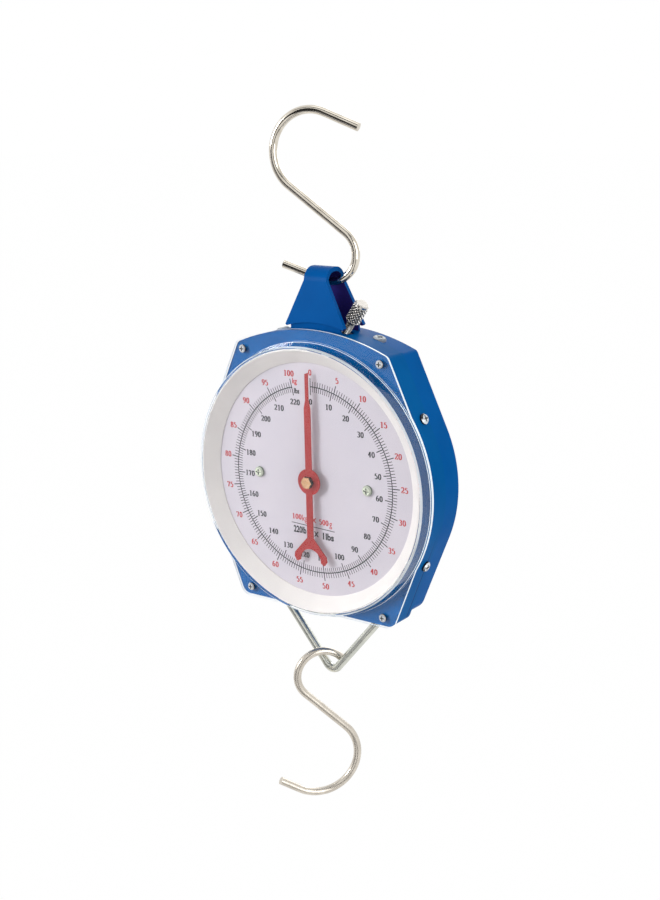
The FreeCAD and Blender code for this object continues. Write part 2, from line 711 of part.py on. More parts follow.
# --- rear case ---------------------------------------------------------------------------------
shell = body("rear_case_shell")
front_edge = S.case_front + S.sheet + S.slip
outline = sketch(shell, "XZ_Plane", front_edge)
case_outline(outline, REAR_INSET, S.rear_corner_x, S.rear_corner_r)
pad(shell, outline, S.case_back - front_edge)
hollow = sketch(shell, "XZ_Plane", front_edge)
case_outline(hollow, REAR_INSIDE, S.rear_corner_x, S.rear_corner_r)
pocket(shell, hollow, S.case_back - S.sheet - front_edge)
slots = sketch(shell, "XY_Plane", S.block_low)
for side in (-1, 1):
    near = side * (S.yoke_y - S.yoke_t - S.slip)
    far = side * (S.tongue_y + S.slip)
    low, high = (near, far) if side > 0 else (far, near)
    rectangle(slots, -S.tongue_half - S.slip, S.tongue_half + S.slip, low, high)
pocket(shell, slots, S.yoke_y * 2)
sockets = sketch(shell, "XY_Plane", S.case_low - 2)
for side in (-1, 1):
    circle(sockets, side * S.bail_x, 0, S.sleeve_r + S.seat_gap / 2)
pocket(shell, sockets, S.case_radius / 10)
back_holes = sketch(shell, "XZ_Plane", S.case_back - S.sheet - 1)
for side in (-1, 1):
    circle(back_holes, side * S.post_x, 0, S.post_bore_r)
    circle(back_holes, side * S.yoke_bolt_x, S.yoke_bolt_z, S.m4_head_r + 0.6)
pocket(shell, back_holes, S.sheet * 3)


def top_screw_seats():
    """Seats on the arched top of the rear case, square to the arch."""
    arch = S.top_radius - REAR_INSET
    lean = Size(math.degrees(math.asin(S.top_screw_x.number / arch.number)),
                f"(asin({S.top_screw_x.text} / {arch.text}) / 1 deg)")
    z = TOP_CENTRE + root(arch * arch - S.top_screw_x * S.top_screw_x)
    return [(side * S.top_screw_x, S.top_screw_y, z, (0, 1, 0), side * lean) for side in (-1, 1)]


def top_bores(r, depth):
    tools = []
    for seat in top_screw_seats():
        (x, y, z), axis, angle = lowered(seat)
        down = (x - depth * sine(angle), y, z - depth * cosine(angle))
        tools.append(cylinder(r, depth * 2, down, axis, angle))
    return tools


TOP_BITE = S.sheet * 5  # length of the top screws
cut_by(shell, side_bores() + top_bores(S.post_bore_r, S.sheet * 2)
       + [along_screw(S.collar_at - S.collar_long * 2, S.collar_r + 1, S.collar_at / 2)], "rear_case")

# --- clear cover over the dial -----------------------------------------------------------------
lens = body("lens_cover")
lens_seat = S.case_front - S.lens_gap
flange_face = lens_seat - S.lens_flange
lens_foot_in = S.lens_low_r - S.lens_wall + 0.1
dome = sketch(lens, "XY_Plane")
shoulder = S.lens_front + S.lens_edge * 0.9
inner_slope = S.lens_top_r - S.lens_wall
polygon(dome, [
    (0, S.lens_front), (S.lens_top_r - S.lens_edge, S.lens_front), (S.lens_top_r, shoulder),
    (S.lens_low_r, flange_face - 0.6), (S.lens_foot_r, flange_face - 0.6), (S.lens_foot_r, lens_seat),
    (lens_foot_in, lens_seat), (lens_foot_in - 0.1, flange_face),
    (inner_slope, S.lens_front + S.lens_wall + 0.5), (inner_slope - 0.5, S.lens_front + S.lens_wall),
    (0, S.lens_front + S.lens_wall)])
turn(lens, dome)
flange = sketch(lens, "XZ_Plane", flange_face)
case_outline(flange, S.lens_inset)
pad(lens, flange, S.lens_flange)
inside_foot = sketch(lens, "XZ_Plane", flange_face)
circle(inside_foot, 0, 0, lens_foot_in)
pocket(lens, inside_foot, S.lens_flange + 1)
screw_holes = sketch(lens, "XZ_Plane", flange_face - 1)
for x, z in FACE_SCREWS:
    circle(screw_holes, x, z, S.m3_r + S.slip)
pocket(lens, screw_holes, S.lens_flange + 2)
keep(lens, "lens_cover")

# --- dial plate and its ring -------------------------------------------------------------------
dial_face = S.case_front - S.dial_t
dial = body("dial_plate")
disc = sketch(dial, "XZ_Plane", dial_face)
circle(disc, 0, 0, S.dial_r)
circle(disc, 0, 0, S.dial_hole_r)
for side in (-1, 1):
    circle(disc, side * S.post_x, 0, S.post_bore_r)
pad(dial, disc, S.dial_t)
keep(dial, "dial_plate")

ring = body("dial_ring")
profile = sketch(ring, "XY_Plane")
polygon(profile, [
    (S.ring_in_r, dial_face), (S.dial_r + 0.5, dial_face), (S.dial_r + 0.5, S.case_front),
    (S.dial_r + 0.5 + S.ring_wall, S.case_front), (S.ring_out_r, S.ring_front + S.ring_wall * 1.2),
    (S.ring_out_r, S.ring_front), (S.ring_out_r - 0.8, S.ring_front), (S.ring_in_r, dial_face - 0.8)])
turn(ring, profile)
keep(ring, "dial_ring")

# --- posts, straps and bushes behind the dial --------------------------------------------------


def pair_y(label, y0, y1, outer, inner):
    """Two sleeves on the posts left and right."""
    master = ring_y(f"{label}_piece", 0, 0, y0, y1, outer, inner, kept=False)
    place(master, (0, 0, 0))
    return group(label, master, [(side * S.post_x, 0, 0, None, None) for side in (-1, 1)])


strap_out = S.strap_y + S.strap_t
pair_y("front_spacers", S.case_front, -strap_out, S.post_r, S.post_bore_r)
pair_y("middle_spacers", -S.strap_y, S.strap_y, S.post_r, S.post_bore_r)
pair_y("rear_spacers", strap_out, S.case_back - S.sheet, S.post_r, S.post_bore_r)

GUIDE_X = S.rack_back + S.guide_r + S.run_gap
for label, near in (("front_strap", -strap_out), ("rear_strap", S.strap_y)):
    strap = body(label)
    blank = sketch(strap, "XZ_Plane", near)
    rounded(blank, [(x * S.strap_long, z * S.strap_high, 4) for x, z in ((-1, -1), (1, -1), (1, 1), (-1, 1))])
    circle(blank, 0, 0, S.bush_r)
    circle(blank, GUIDE_X, 0, S.guide_r)
    for side in (-1, 1):
        circle(blank, side * S.post_x, 0, S.post_bore_r)
    pad(strap, blank, S.strap_t)
    keep(strap, label)

ring_y("rack_guide_pin", GUIDE_X, 0, -strap_out, strap_out, S.guide_r)

for label, side in (("front_bushing", -1), ("rear_bushing", 1)):
    bush = body(label)
    profile = sketch(bush, "XY_Plane")
    inside = S.spindle_r + S.run_gap
    foot = side * (S.strap_y - 1)
    polygon(profile, [(inside, foot), (S.bush_flange_r, foot), (S.bush_flange_r, side * S.strap_y),
                      (S.bush_r, side * S.strap_y), (S.bush_r, side * (S.strap_y + S.bush_out)),
                      (inside, side * (S.strap_y + S.bush_out))])
    turn(bush, profile)
    keep(bush, label)

# --- screws and nuts ---------------------------------------------------------------------------


def pan_screw(label, shank_r, length, head_r, head):
    """Cross-recessed pan head screw along Z: the head's seat lies at z = 0, the shank below."""
    made = body(label, (0, 0, 0))
    profile = sketch(made, "XZ_Plane")
    edge = head * 0.4
    polygon(profile, [(0, -length), (shank_r - 0.3, -length), (shank_r, 0.3 - length), (shank_r, 0),
                      (head_r, 0), (head_r, head - edge), (head_r - edge, head), (0, head)])
    turn(made, profile)
    cross = sketch(made, "XY_Plane", head * 0.45)
    arm = head_r * 0.6
    half = head_r * 0.14
    polygon(cross, [(arm, -half), (arm, half), (half, half), (half, arm), (-half, arm), (-half, half),
                    (-arm, half), (-arm, -half), (-half, -half), (-half, -arm), (half, -arm), (half, -half)])
    pocket(made, cross, head)
    return made


def hex_nut(label, across, high, bore):
    """Hexagon nut standing on z = 0."""
    made = body(label, (0, 0, 0))
    face = sketch(made, "XY_Plane")
    corner = across / math.sqrt(3)
    spots = []
    for k in range(6):
        a = math.radians(60 * k)
        spots.append((corner * round(math.cos(a), 6), corner * round(math.sin(a), 6)))
    polygon(face, spots)
    circle(face, 0, 0, bore)
    pad(made, face, high)
    bevel = sketch(made, "XZ_Plane")
    polygon(bevel, [(corner - 0.6, high), (corner + 1, high), (corner + 1, high - 1)])
    turn(made, bevel, kind="PartDesign::Groove")
    return made


FACING = ((1, 0, 0), 90)  # a screw's head towards the front
BEHIND = ((1, 0, 0), -90)

side_screw = pan_screw("side_screw_piece", S.m4_r, S.sheet * 2 + S.slip + 3.6, S.m4_head_r, S.m4_head)
group("side_screws", side_screw, side_seats(0))
nut_high = S.m4_r * 1.5
m4_nut = hex_nut("m4_nut_piece", S.m4_r * 3.5, nut_high, S.m4_r)
group("side_nuts", m4_nut, side_seats(REAR_INSIDE + nut_high, low_nut_inset(S.m4_r * 2.1) + nut_high))
group("post_nuts", m4_nut, [(side * S.post_x, S.case_back, 0) + BEHIND for side in (-1, 1)])

cover_grip = S.lens_flange + S.lens_gap + S.sheet
cover_screw = pan_screw("cover_screw_piece", S.m3_r, cover_grip + 2.6, S.m3_head_r, S.m3_head)
group("cover_screws", cover_screw, [(x, flange_face, z) + FACING for x, z in FACE_SCREWS])
m3_nut = hex_nut("m3_nut_piece", S.m3_r * 11 / 3, S.m3_r * 1.4, S.m3_r)
nut_seat = S.case_front + S.sheet
group("cover_nuts", m3_nut, [(x, nut_seat, z) + BEHIND for x, z in FACE_SCREWS])

dial_screw = pan_screw("dial_screw_piece", S.m4_r, S.case_back + S.m4_r * 1.75 - dial_face, S.m4_head_r,
                       S.m4_head)
group("dial_screws", dial_screw, [(side * S.post_x, dial_face, 0) + FACING for side in (-1, 1)])
top_screw = pan_screw("top_screw_piece", S.m4_r, TOP_BITE, S.top_head_r, S.m4_head)
group("top_screws", top_screw, top_screw_seats())
yoke_bolt = pan_screw("yoke_bolt_piece", S.m4_r, S.tongue_t + S.yoke_bolt_grip, S.m4_head_r, S.m4_head)
bolt_seats = []
for side in (-1, 1):
    bolt_seats.append((side * S.yoke_bolt_x, -S.tongue_y, S.yoke_bolt_z) + FACING)
    bolt_seats.append((side * S.yoke_bolt_x, S.tongue_y, S.yoke_bolt_z) + BEHIND)
group("yoke_bolts", yoke_bolt, bolt_seats)

# --- hanger block and yoke ---------------------------------------------------------------------
block_y = S.yoke_y - S.yoke_t
block = body("hanger_block_blank")
front = sketch(block, "XZ_Plane", -block_y)
block_r = S.top_radius - REAR_INSIDE - S.slip
shoulder_z = TOP_CENTRE + root(block_r * block_r - S.block_half * S.block_half)
lines = []
corners = [(-S.block_half, shoulder_z), (-S.block_half, S.block_low), (S.block_half, S.block_low),
           (S.block_half, shoulder_z)]
for a, b in zip(corners, corners[1:]):
    lines.append(front.addGeometry(Part.LineSegment(vec(*a), vec(*b))))
arch = Part.Circle(vec(0, TOP_CENTRE), Vector(0, 0, 1), block_r.number)
half_angle = math.asin((S.block_half / block_r).number)
lines.append(front.addGeometry(Part.ArcOfCircle(arch, math.pi / 2 - half_angle, math.pi / 2 + half_angle)))
for i, here in enumerate(lines):
    front.addConstraint(Sketcher.Constraint("Coincident", here, 2, lines[(i + 1) % 4], 1))
hold(front, lines[0], 2, *corners[1])
hold(front, lines[1], 2, *corners[2])
hold(front, lines[3], 3, 0, TOP_CENTRE)
radius(front, lines[3], block_r)
front.addConstraint(Sketcher.Constraint("Vertical", lines[0]))
front.addConstraint(Sketcher.Constraint("Vertical", lines[2]))
pad(block, front, block_y * 2)
for near in (-block_y - 1, block_y - S.yoke_bolt_grip):
    holes = sketch(block, "XZ_Plane", near)
    for side in (-1, 1):
        circle(holes, side * S.yoke_bolt_x, S.yoke_bolt_z, S.m4_r)
    pocket(block, holes, S.yoke_bolt_grip + 1)
collar_seat = S.collar_at + S.collar_long
guide_low = S.anchor_low - 2
guide_long = (S.block_low + 5 - guide_low) / COS_TILT


def on_guide(z):
    return (S.guide_x + (z - S.guide_z) * tangent(S.knob_tilt), 0, z - S.dial_drop)


def guide_bore(r):
    return cylinder(r, guide_long, on_guide(guide_low), (0, 1, 0), S.knob_tilt)


cut_by(block, top_bores(S.m4_r, TOP_BITE)
       + [along_screw(S.knob_long, S.screw_r + S.run_gap, S.screw_long),
          along_screw(S.knob_long, S.collar_r + 0.5, collar_seat - S.knob_long),
          along_screw(S.clip_at, S.collar_r + 0.5, S.knob_long), guide_bore(S.guide_r)], "hanger_block")

yoke = body("yoke")
strip = sketch(yoke, "YZ_Plane", -S.yoke_half_low)
inner_y = S.yoke_y - S.yoke_t
top_y = S.yoke_y - S.yoke_lean
roof_y = inner_y - S.yoke_lean * (S.yoke_roof - S.yoke_low) / (S.yoke_top - S.yoke_low)
inner_bend = S.yoke_bend_r - S.yoke_t
rounded(strip, [(-S.yoke_y, S.yoke_low, 0), (-inner_y, S.yoke_low, 0), (-roof_y, S.yoke_roof, inner_bend),
                (roof_y, S.yoke_roof, inner_bend), (inner_y, S.yoke_low, 0), (S.yoke_y, S.yoke_low, 0),
                (top_y, S.yoke_top, S.yoke_bend_r), (-top_y, S.yoke_top, S.yoke_bend_r)])
pad(yoke, strip, S.yoke_half_low * 2)
outside = S.yoke_half_low + 2
neck_z = S.yoke_low + S.yoke_neck
corner_x = S.yoke_half_low - S.yoke_corner
flanks = sketch(yoke, "XZ_Plane", -S.yoke_y - 1)
for side in (-1, 1):
    polygon(flanks, [(side * S.yoke_half_top, S.yoke_top + 1), (side * outside, S.yoke_top + 1),
                     (side * outside, S.yoke_low - 1), (side * corner_x, S.yoke_low - 1),
                     (side * corner_x, S.yoke_low), (side * S.yoke_half_low, S.yoke_low + S.yoke_corner),
                     (side * S.yoke_half_top, neck_z)])
pocket(yoke, flanks, S.yoke_y * 2 + 2)
arch = sketch(yoke, "XZ_Plane", -S.yoke_y - 1)
arch_r = (S.yoke_half_low * S.yoke_half_low + S.yoke_arch * S.yoke_arch) / (S.yoke_arch * 2)
circle(arch, 0, S.yoke_low + S.yoke_arch - arch_r, arch_r)
pocket(yoke, arch, S.yoke_y * 2 + 2)
tongues = sketch(yoke, "YZ_Plane", -S.tongue_half)
tongue_high = S.yoke_low + S.yoke_arch * 1.2
for low, high in ((-S.tongue_y, -inner_y), (inner_y, S.tongue_y)):
    rectangle(tongues, low, high, S.tongue_low, tongue_high)
pad(yoke, tongues, S.tongue_half * 2)
holes = sketch(yoke, "XZ_Plane", -S.yoke_y - 1)
for side in (-1, 1):
    circle(holes, side * S.yoke_bolt_x, S.yoke_bolt_z, S.post_bore_r)
pocket(yoke, holes, S.yoke_y * 2 + 2)
keep(yoke, "yoke")

# --- zero adjuster -----------------------------------------------------------------------------
# These are made along their own Z, which is then leaned to the right; z = 0 is the knob's end.


def tilted(label, z0, z1, outer, inner=None):
    made = body(label, KNOB, (0, 1, 0), S.knob_tilt)
    face = sketch(made, "XY_Plane", z0)
    circle(face, 0, 0, outer)
    if inner is not None:
        circle(face, 0, 0, inner)
    pad(made, face, as_size(z1) - z0)
    return made


knob = tilted("zero_knob", -S.knob_long, 0, S.knob_r, S.screw_r)
rim = sketch(knob, "XZ_Plane")
polygon(rim, [(S.knob_r - 0.8, 0), (S.knob_r + 1, 0), (S.knob_r + 1, -0.8), (S.knob_r, -0.8)])
turn(knob, rim, kind="PartDesign::Groove")
keep(knob, "zero_knob")

screw = tilted("adjusting_screw", -S.screw_long, -0.6, S.screw_r)
tip = sketch(screw, "XZ_Plane")
polygon(tip, [(S.screw_r - 0.6, -S.screw_long), (S.screw_r + 1, -S.screw_long), (S.screw_r + 1, 1 - S.screw_long),
              (S.screw_r, 0.6 - S.screw_long)])
turn(screw, tip, kind="PartDesign::Groove")
keep(screw, "adjusting_screw")
keep(tilted("screw_collar", S.run_gap - collar_seat, -S.collar_at, S.collar_r, S.screw_r), "screw_collar")
keep(tilted("screw_clip", -S.clip_at - S.clip_long, -S.clip_at - S.run_gap, S.collar_r, S.screw_r), "screw_clip")

# --- spring anchor -----------------------------------------------------------------------------
anchor = body("spring_anchor_blank")
plate = sketch(anchor, "XZ_Plane", -S.plate_t / 2)
rounded(plate, [(x * S.anchor_half, z, 3) for x, z in
                ((-1, S.anchor_low), (1, S.anchor_low), (1, S.anchor_high), (-1, S.anchor_high))])
for side in (-1, 1):
    circle(plate, side * S.spring_x, S.eye_top, S.eye_r)
pad(anchor, plate, S.plate_t)
bosses = [anchor, along_screw(S.anchor_at, S.anchor_r, S.anchor_long),
          cylinder(S.guide_boss_r, S.anchor_long, on_guide(S.guide_z - S.anchor_long * COS_TILT / 2), (0, 1, 0),
                   S.knob_tilt)]
solid = doc.addObject("Part::MultiFuse", "spring_anchor_solid")
solid.Shapes = bosses
cut_by(solid, [along_screw(S.clip_at, S.screw_r + S.run_gap, S.screw_long / 2),
               guide_bore(S.guide_r + S.run_gap)], "spring_anchor")
pin = guide_bore(S.guide_r)
keep(pin, "anchor_guide_pin")

# --- springs -----------------------------------------------------------------------------------
inner_r = S.spring_coil_r - S.spring_wire_r
seat_drop = root(inner_r * inner_r - S.plate_t * S.plate_t / 4)
TOP_EYE = S.eye_top - S.eye_r + S.seat_gap - seat_drop
LOW_EYE = S.eye_low + S.eye_r - S.seat_gap + seat_drop
coil_top = TOP_EYE - S.spring_coil_r
coil_low = LOW_EYE + S.spring_coil_r


def spring(label, x):
    """Extension spring: the coil, a flat half turn at each end to its axis, and an open eye there."""
    made = body(label, (x, 0, -S.dial_drop))
    start = sketch(made, "XZ_Plane")
    circle(start, S.spring_coil_r, coil_low, S.spring_wire_r)
    helix = made.newObject("PartDesign::AdditiveHelix", f"{label}_coil")
    helix.Profile = start
    helix.ReferenceAxis = (start, ["V_Axis"])
    helix.Mode = "pitch-height-angle"
    bind(helix, "Pitch", (coil_top - coil_low) / S.spring_turns)
    bind(helix, "Height", coil_top - coil_low)
    for z, eye, way in ((coil_low, LOW_EYE, True), (coil_top, TOP_EYE, False)):
        bend = sketch(made, "XZ_Plane")
        circle(bend, S.spring_coil_r, z, S.spring_wire_r)
        axis = bend.addGeometry(Part.LineSegment(vec(S.spring_coil_r / 2, z - 5), vec(S.spring_coil_r / 2, z + 5)),
                                True)
        hold(bend, axis, 1, S.spring_coil_r / 2, z - 5)
        hold(bend, axis, 2, S.spring_coil_r / 2, z + 5)
        half = turn(made, bend, "Axis0")
        half.Angle = 180
        half.Reversed = way
        loop = sketch(made, "XZ_Plane")
        circle(loop, 0, z, S.spring_wire_r)
        axis = loop.addGeometry(Part.LineSegment(vec(-5, eye), vec(5, eye)), True)
        hold(loop, axis, 1, -5, eye)
        hold(loop, axis, 2, 5, eye)
        curl = turn(made, loop, "Axis0")
        curl.Angle = 290
        curl.Reversed = way
    return keep(made, label)


spring("spring_left", -S.spring_x)
spring("spring_right", S.spring_x)

# --- load bar, rack and bail -------------------------------------------------------------------
bar = body("load_bar")
flange_top = S.bar_low + S.bar_t
web = sketch(bar, "XZ_Plane", -S.plate_t / 2)
rectangle(web, -S.web_half, S.web_half, S.bar_low, S.web_high)
for side in (-1, 1):
    circle(web, side * S.spring_x, S.eye_low, S.eye_r)
pad(bar, web, S.plate_t)
flange = sketch(bar, "XY_Plane", S.bar_low)
rounded(flange, [(x * S.bar_half, y * S.bar_deep, 3) for x, y in ((-1, -1), (1, -1), (1, 1), (-1, 1))])
pad(bar, flange, S.bar_t)
studs = sketch(bar, "XY_Plane", S.bar_low - 1)
for side in (-1, 1):
    circle(studs, side * S.bail_x, 0, S.bail_stud_r + 0.1)
pocket(bar, studs, S.bar_t + 2)
RACK_MID = (S.gear_module * S.gear_teeth / 2 + S.rack_back) / 2
RACK_SCREW_Z = (flange_top + 4.5, S.web_high - 3.5)
threads = sketch(bar, "XZ_Plane", -S.plate_t / 2 - 1)
for z in RACK_SCREW_Z:
    circle(threads, RACK_MID, z, S.m3_r)
pocket(bar, threads, S.plate_t + 2)
keep(bar, "load_bar")

pitch_r = S.gear_module * S.gear_teeth / 2
pitch = S.gear_module * math.pi
rack_front = -S.plate_t / 2 - S.rack_t
rack = body("rack")
strip = sketch(rack, "XZ_Plane", rack_front)
rectangle(strip, pitch_r - S.gear_module, S.rack_back, flange_top, S.rack_top)
for z in RACK_SCREW_Z:
    circle(strip, RACK_MID, z, S.m3_r + S.slip)
pad(rack, strip, S.rack_t)
gap = sketch(rack, "XZ_Plane", rack_front - 1)
low_gap = S.rack_first * pitch
slope = tangent(S.gear_angle)
above = S.gear_module + 0.5
below = S.gear_module * 1.25
wide = pitch / 4 + S.gear_play + above * slope
narrow = pitch / 4 + S.gear_play - below * slope
polygon(gap, [(pitch_r - above, low_gap - wide), (pitch_r + below, low_gap - narrow),
              (pitch_r + below, low_gap + narrow), (pitch_r - above, low_gap + wide)])
cut_gap = pocket(rack, gap, S.rack_t + 2)
row = rack.newObject("PartDesign::LinearPattern", "rack_teeth")
row.Originals = [cut_gap]
row.Direction = (gap, ["V_Axis"])
bind(row, "Length", pitch * (S.rack_teeth - 1))
bind(row, "Occurrences", S.rack_teeth)
rack.Tip = row
keep(rack, "rack")
rack_screw = pan_screw("rack_screw_piece", S.m3_r, S.rack_t + S.plate_t, S.m3_head_r, S.m3_head)
group("rack_screws", rack_screw, [(RACK_MID, rack_front, z) + FACING for z in RACK_SCREW_Z])


def pipe(made, path, profile):
    swept = made.newObject("PartDesign::AdditivePipe", f"{made.Name}_wire")
    swept.Profile = profile
    swept.Spine = (path, [])
    return swept


bail = body("bail")
path = sketch(bail, "XZ_Plane")
rounded(path, [(-S.bail_x, S.bar_low, 0), (-S.bail_x, S.bail_knee_z, S.bail_knee_r), (0, S.bail_vee_z, S.bail_vee_r),
               (S.bail_x, S.bail_knee_z, S.bail_knee_r), (S.bail_x, S.bar_low, 0)], closed=False)
section = sketch(bail, "XY_Plane", S.bar_low)
circle(section, -S.bail_x, 0, S.bail_r)
pipe(bail, path, section)
stud = sketch(bail, "XY_Plane", S.bar_low)
for side in (-1, 1):
    circle(stud, side * S.bail_x, 0, S.bail_stud_r)
pad(bail, stud, S.bar_t + S.bail_nut_high + 1.5)
keep(bail, "bail")
bail_nut = hex_nut("bail_nut_piece", S.bail_nut_af, S.bail_nut_high, S.bail_stud_r)
group("bail_nuts", bail_nut, [(side * S.bail_x, 0, flange_top, None, None) for side in (-1, 1)])

bush = body("bail_bushing_piece", (0, 0, 0))
profile = sketch(bush, "XZ_Plane")
inside = S.bail_r + S.bush_bore_gap
floor = S.case_low + REAR_INSIDE
polygon(profile, [(inside, S.case_low - 2), (S.sleeve_r, S.case_low - 2), (S.sleeve_r, floor),
                  (S.sleeve_flange_r, floor), (S.sleeve_flange_r, floor + 1.5), (inside, floor + 1.5)])
turn(bush, profile)
group("bail_bushings", bush, [(side * S.bail_x, 0, 0, None, None) for side in (-1, 1)])

# --- spindle, pinion and pointer ---------------------------------------------------------------
spindle = body("spindle")
profile = sketch(spindle, "XY_Plane")
pointer_front = S.pointer_back - S.pointer_t
stud_end = pointer_front - S.nut_high - 0.3
polygon(profile, [(0, stud_end), (S.stud_r - 0.2, stud_end), (S.stud_r, stud_end + 0.2), (S.stud_r, S.pointer_back),
                  (S.spindle_r, S.pointer_back), (S.spindle_r, S.spindle_back), (0, S.spindle_back)])
turn(spindle, profile)
keep(spindle, "spindle")
bush_end = S.strap_y + S.bush_out
clip = ring_y("spindle_clip_piece", 0, 0, 0.1, 0.9, S.spindle_r * 1.75, S.spindle_r, kept=False)
place(clip, (0, 0, 0))
group("spindle_clips", clip, [(0, bush_end, 0, None, None), (0, -bush_end, 0, (0, 0, 1), 180)])
ring_y("pointer_collar", 0, 0, S.pointer_back, S.pointer_back + 2.5, S.spindle_r * 2, S.spindle_r)


def gear_face():
    """Involute gear outline with its bore, from the sheet's module, tooth count and pressure angle."""
    teeth = round(S.gear_teeth.number)
    alpha = math.radians(S.gear_angle.number)
    r_pitch = pitch_r.number
    r_base = r_pitch * math.cos(alpha)
    r_tip = r_pitch + S.gear_module.number
    r_root = r_pitch - below.number
    half = math.pi / (2 * teeth) - S.gear_play.number / r_pitch + math.tan(alpha) - alpha

    def lean(r):
        a = math.acos(min(1, r_base / r))
        return half - (math.tan(a) - a)

    def spot(r, angle):
        return Vector(r * math.cos(angle), 0, r * math.sin(angle))

    def curve(points):
        made = Part.BSplineCurve()
        made.interpolate(points)
        return made.toShape()

    steps = [r_base + (r_tip - r_base) * (k / 6) for k in range(7)]
    edges = []
    for k in range(teeth):
        mid = 2 * math.pi * k / teeth
        follow = 2 * math.pi * (k + 1) / teeth
        edges.append(Part.makeLine(spot(r_root, mid - half), spot(r_base, mid - half)))
        edges.append(curve([spot(r, mid - lean(r)) for r in steps]))
        edges.append(Part.Arc(spot(r_tip, mid - lean(r_tip)), spot(r_tip, mid), spot(r_tip, mid + lean(r_tip))).toShape())
        edges.append(curve([spot(r, mid + lean(r)) for r in reversed(steps)]))
        edges.append(Part.makeLine(spot(r_base, mid + half), spot(r_root, mid + half)))
        edges.append(Part.Arc(spot(r_root, mid + half), spot(r_root, (mid + follow) / 2),
                              spot(r_root, follow - half)).toShape())
    rim = Part.Wire(edges)
    bore = Part.Wire(Part.makeCircle(S.spindle_r.number, Vector(), Vector(0, 1, 0)))
    return Part.Face([rim, bore], "Part::FaceMakerBullseye")


pinion = doc.addObject("Part::Feature", "pinion")
pinion.Shape = gear_face().extrude(Vector(0, S.gear_wide.number, 0))
place(pinion, (0, rack_front + (S.rack_t - S.gear_wide) / 2, -S.dial_drop))
keep(pinion, "pinion")

pointer = body("pointer")
fork = sketch(pointer, "XZ_Plane", pointer_front)
left_side = [(-S.pointer_w, S.fork_top, 0), (-S.fork_side, S.fork_side_z, S.fork_bend_r),
             (-S.fork_wide, S.fork_wide_z, 0), (-S.fork_end, S.fork_low, S.fork_bend_r),
             (-S.fork_in_r, S.fork_z, 0)]
right_side = [(-x, z, r) for x, z, r in reversed(left_side)]
rounded(fork, left_side + right_side)
pad(pointer, fork, S.pointer_t)
notch = sketch(pointer, "XZ_Plane", pointer_front - 1)
circle(notch, 0, S.fork_z, S.fork_in_r)
pocket(pointer, notch, S.pointer_t + 2)
hub = sketch(pointer, "XZ_Plane", pointer_front)
circle(hub, 0, 0, S.hub_r)
pad(pointer, hub, S.pointer_t)
needle = sketch(pointer, "XZ_Plane", pointer_front)
fine_start = S.pointer_step + S.pointer_neck
polygon(needle, [
    (-S.pointer_w, S.fork_top - 1), (S.pointer_w, S.fork_top - 1), (S.pointer_w, S.pointer_step),
    (S.pointer_fine_w, fine_start), (S.pointer_fine_w, S.pointer_tip),
    (-S.pointer_fine_w, S.pointer_tip - S.pointer_slant), (-S.pointer_fine_w, fine_start),
    (-S.pointer_w, S.pointer_step)])
pad(pointer, needle, S.pointer_t)
eye = sketch(pointer, "XZ_Plane", pointer_front - 1)
circle(eye, 0, 0, S.stud_r)
pocket(pointer, eye, S.pointer_t + 2)
keep(pointer, "pointer")
nut = hex_nut("pointer_nut", S.nut_af, S.nut_high, S.stud_r)
place(nut, (0, pointer_front, -S.dial_drop), *FACING)
keep(nut, "pointer_nut")

# --- hooks -------------------------------------------------------------------------------------


def hook(label, flip, big, big_tail, small, small_tail, angle):
    """S-shaped wire: straight tail, large bow, slanting shank, small bow, straight tail.
    A bow is (x, z, radius), a tail (slope, length). flip = -1 turns the whole shape upside down."""
    made = body(label, ORIGIN, (0, 0, 1), angle)
    path = sketch(made, "XZ_Plane")
    (bx, bz, br), (sx, sz, sr) = big, small
    (bt, bl), (st, sl) = big_tail, small_tail
    gap_x = (sx - bx).number
    gap_z = (sz - bz).number
    reach = math.hypot(gap_x, gap_z)
    leave = math.degrees(math.atan2(gap_z, gap_x) - math.acos((br + sr).number / reach))
    turned = 0 if flip > 0 else 180
    big_at = (flip * bx.number, flip * bz.number)
    small_at = (flip * sx.number, flip * sz.number)
    begin = 90 - bt.number + turned
    leave += turned
    finish = 270 - st.number + turned
    enter = leave + 180
    big_tip = (flip * (bx + br * sine(bt) + bl * cosine(bt)), flip * (bz + br * cosine(bt) - bl * sine(bt)))
    small_tip = (flip * (sx - sr * sine(st) - sl * cosine(st)), flip * (sz - sr * cosine(st) + sl * sine(st)))
    spots = [vec(*big_tip), normal_point(begin, br.number, big_at), normal_point(leave, br.number, big_at),
             normal_point(enter, sr.number, small_at), normal_point(finish, sr.number, small_at), vec(*small_tip)]

    def arc(centre, r, a, b):
        ring = Part.Circle(Vector(centre[0], centre[1], 0), Vector(0, 0, 1), r)
        a, b = math.radians(a % 360), math.radians(b % 360)
        return path.addGeometry(Part.ArcOfCircle(ring, a, b if b > a else b + 2 * math.pi))

    tail = path.addGeometry(Part.LineSegment(spots[0], spots[1]))
    bow = arc(big_at, br.number, begin, leave)
    shank = path.addGeometry(Part.LineSegment(spots[2], spots[3]))
    eye = arc(small_at, sr.number, finish, enter)
    end = path.addGeometry(Part.LineSegment(spots[4], spots[5]))
    for a, a_end, b, b_end in ((tail, 2, bow, 1), (bow, 2, shank, 1), (shank, 2, eye, 2), (eye, 1, end, 1)):
        path.addConstraint(Sketcher.Constraint("Tangent", a, a_end, b, b_end))
    hold(path, bow, 3, flip * bx, flip * bz)
    hold(path, eye, 3, flip * sx, flip * sz)
    radius(path, bow, br)
    radius(path, eye, sr)
    hold(path, tail, 1, *big_tip)
    hold(path, end, 2, *small_tip)
    section = made.newObject("Sketcher::SketchObject", f"{label}_section")
    section.AttachmentSupport = [(path, "Edge1")]
    section.MapMode = "NormalToEdge"
    circle(section, 0, 0, S.hook_r)
    pipe(made, path, section)
    return keep(made, label)


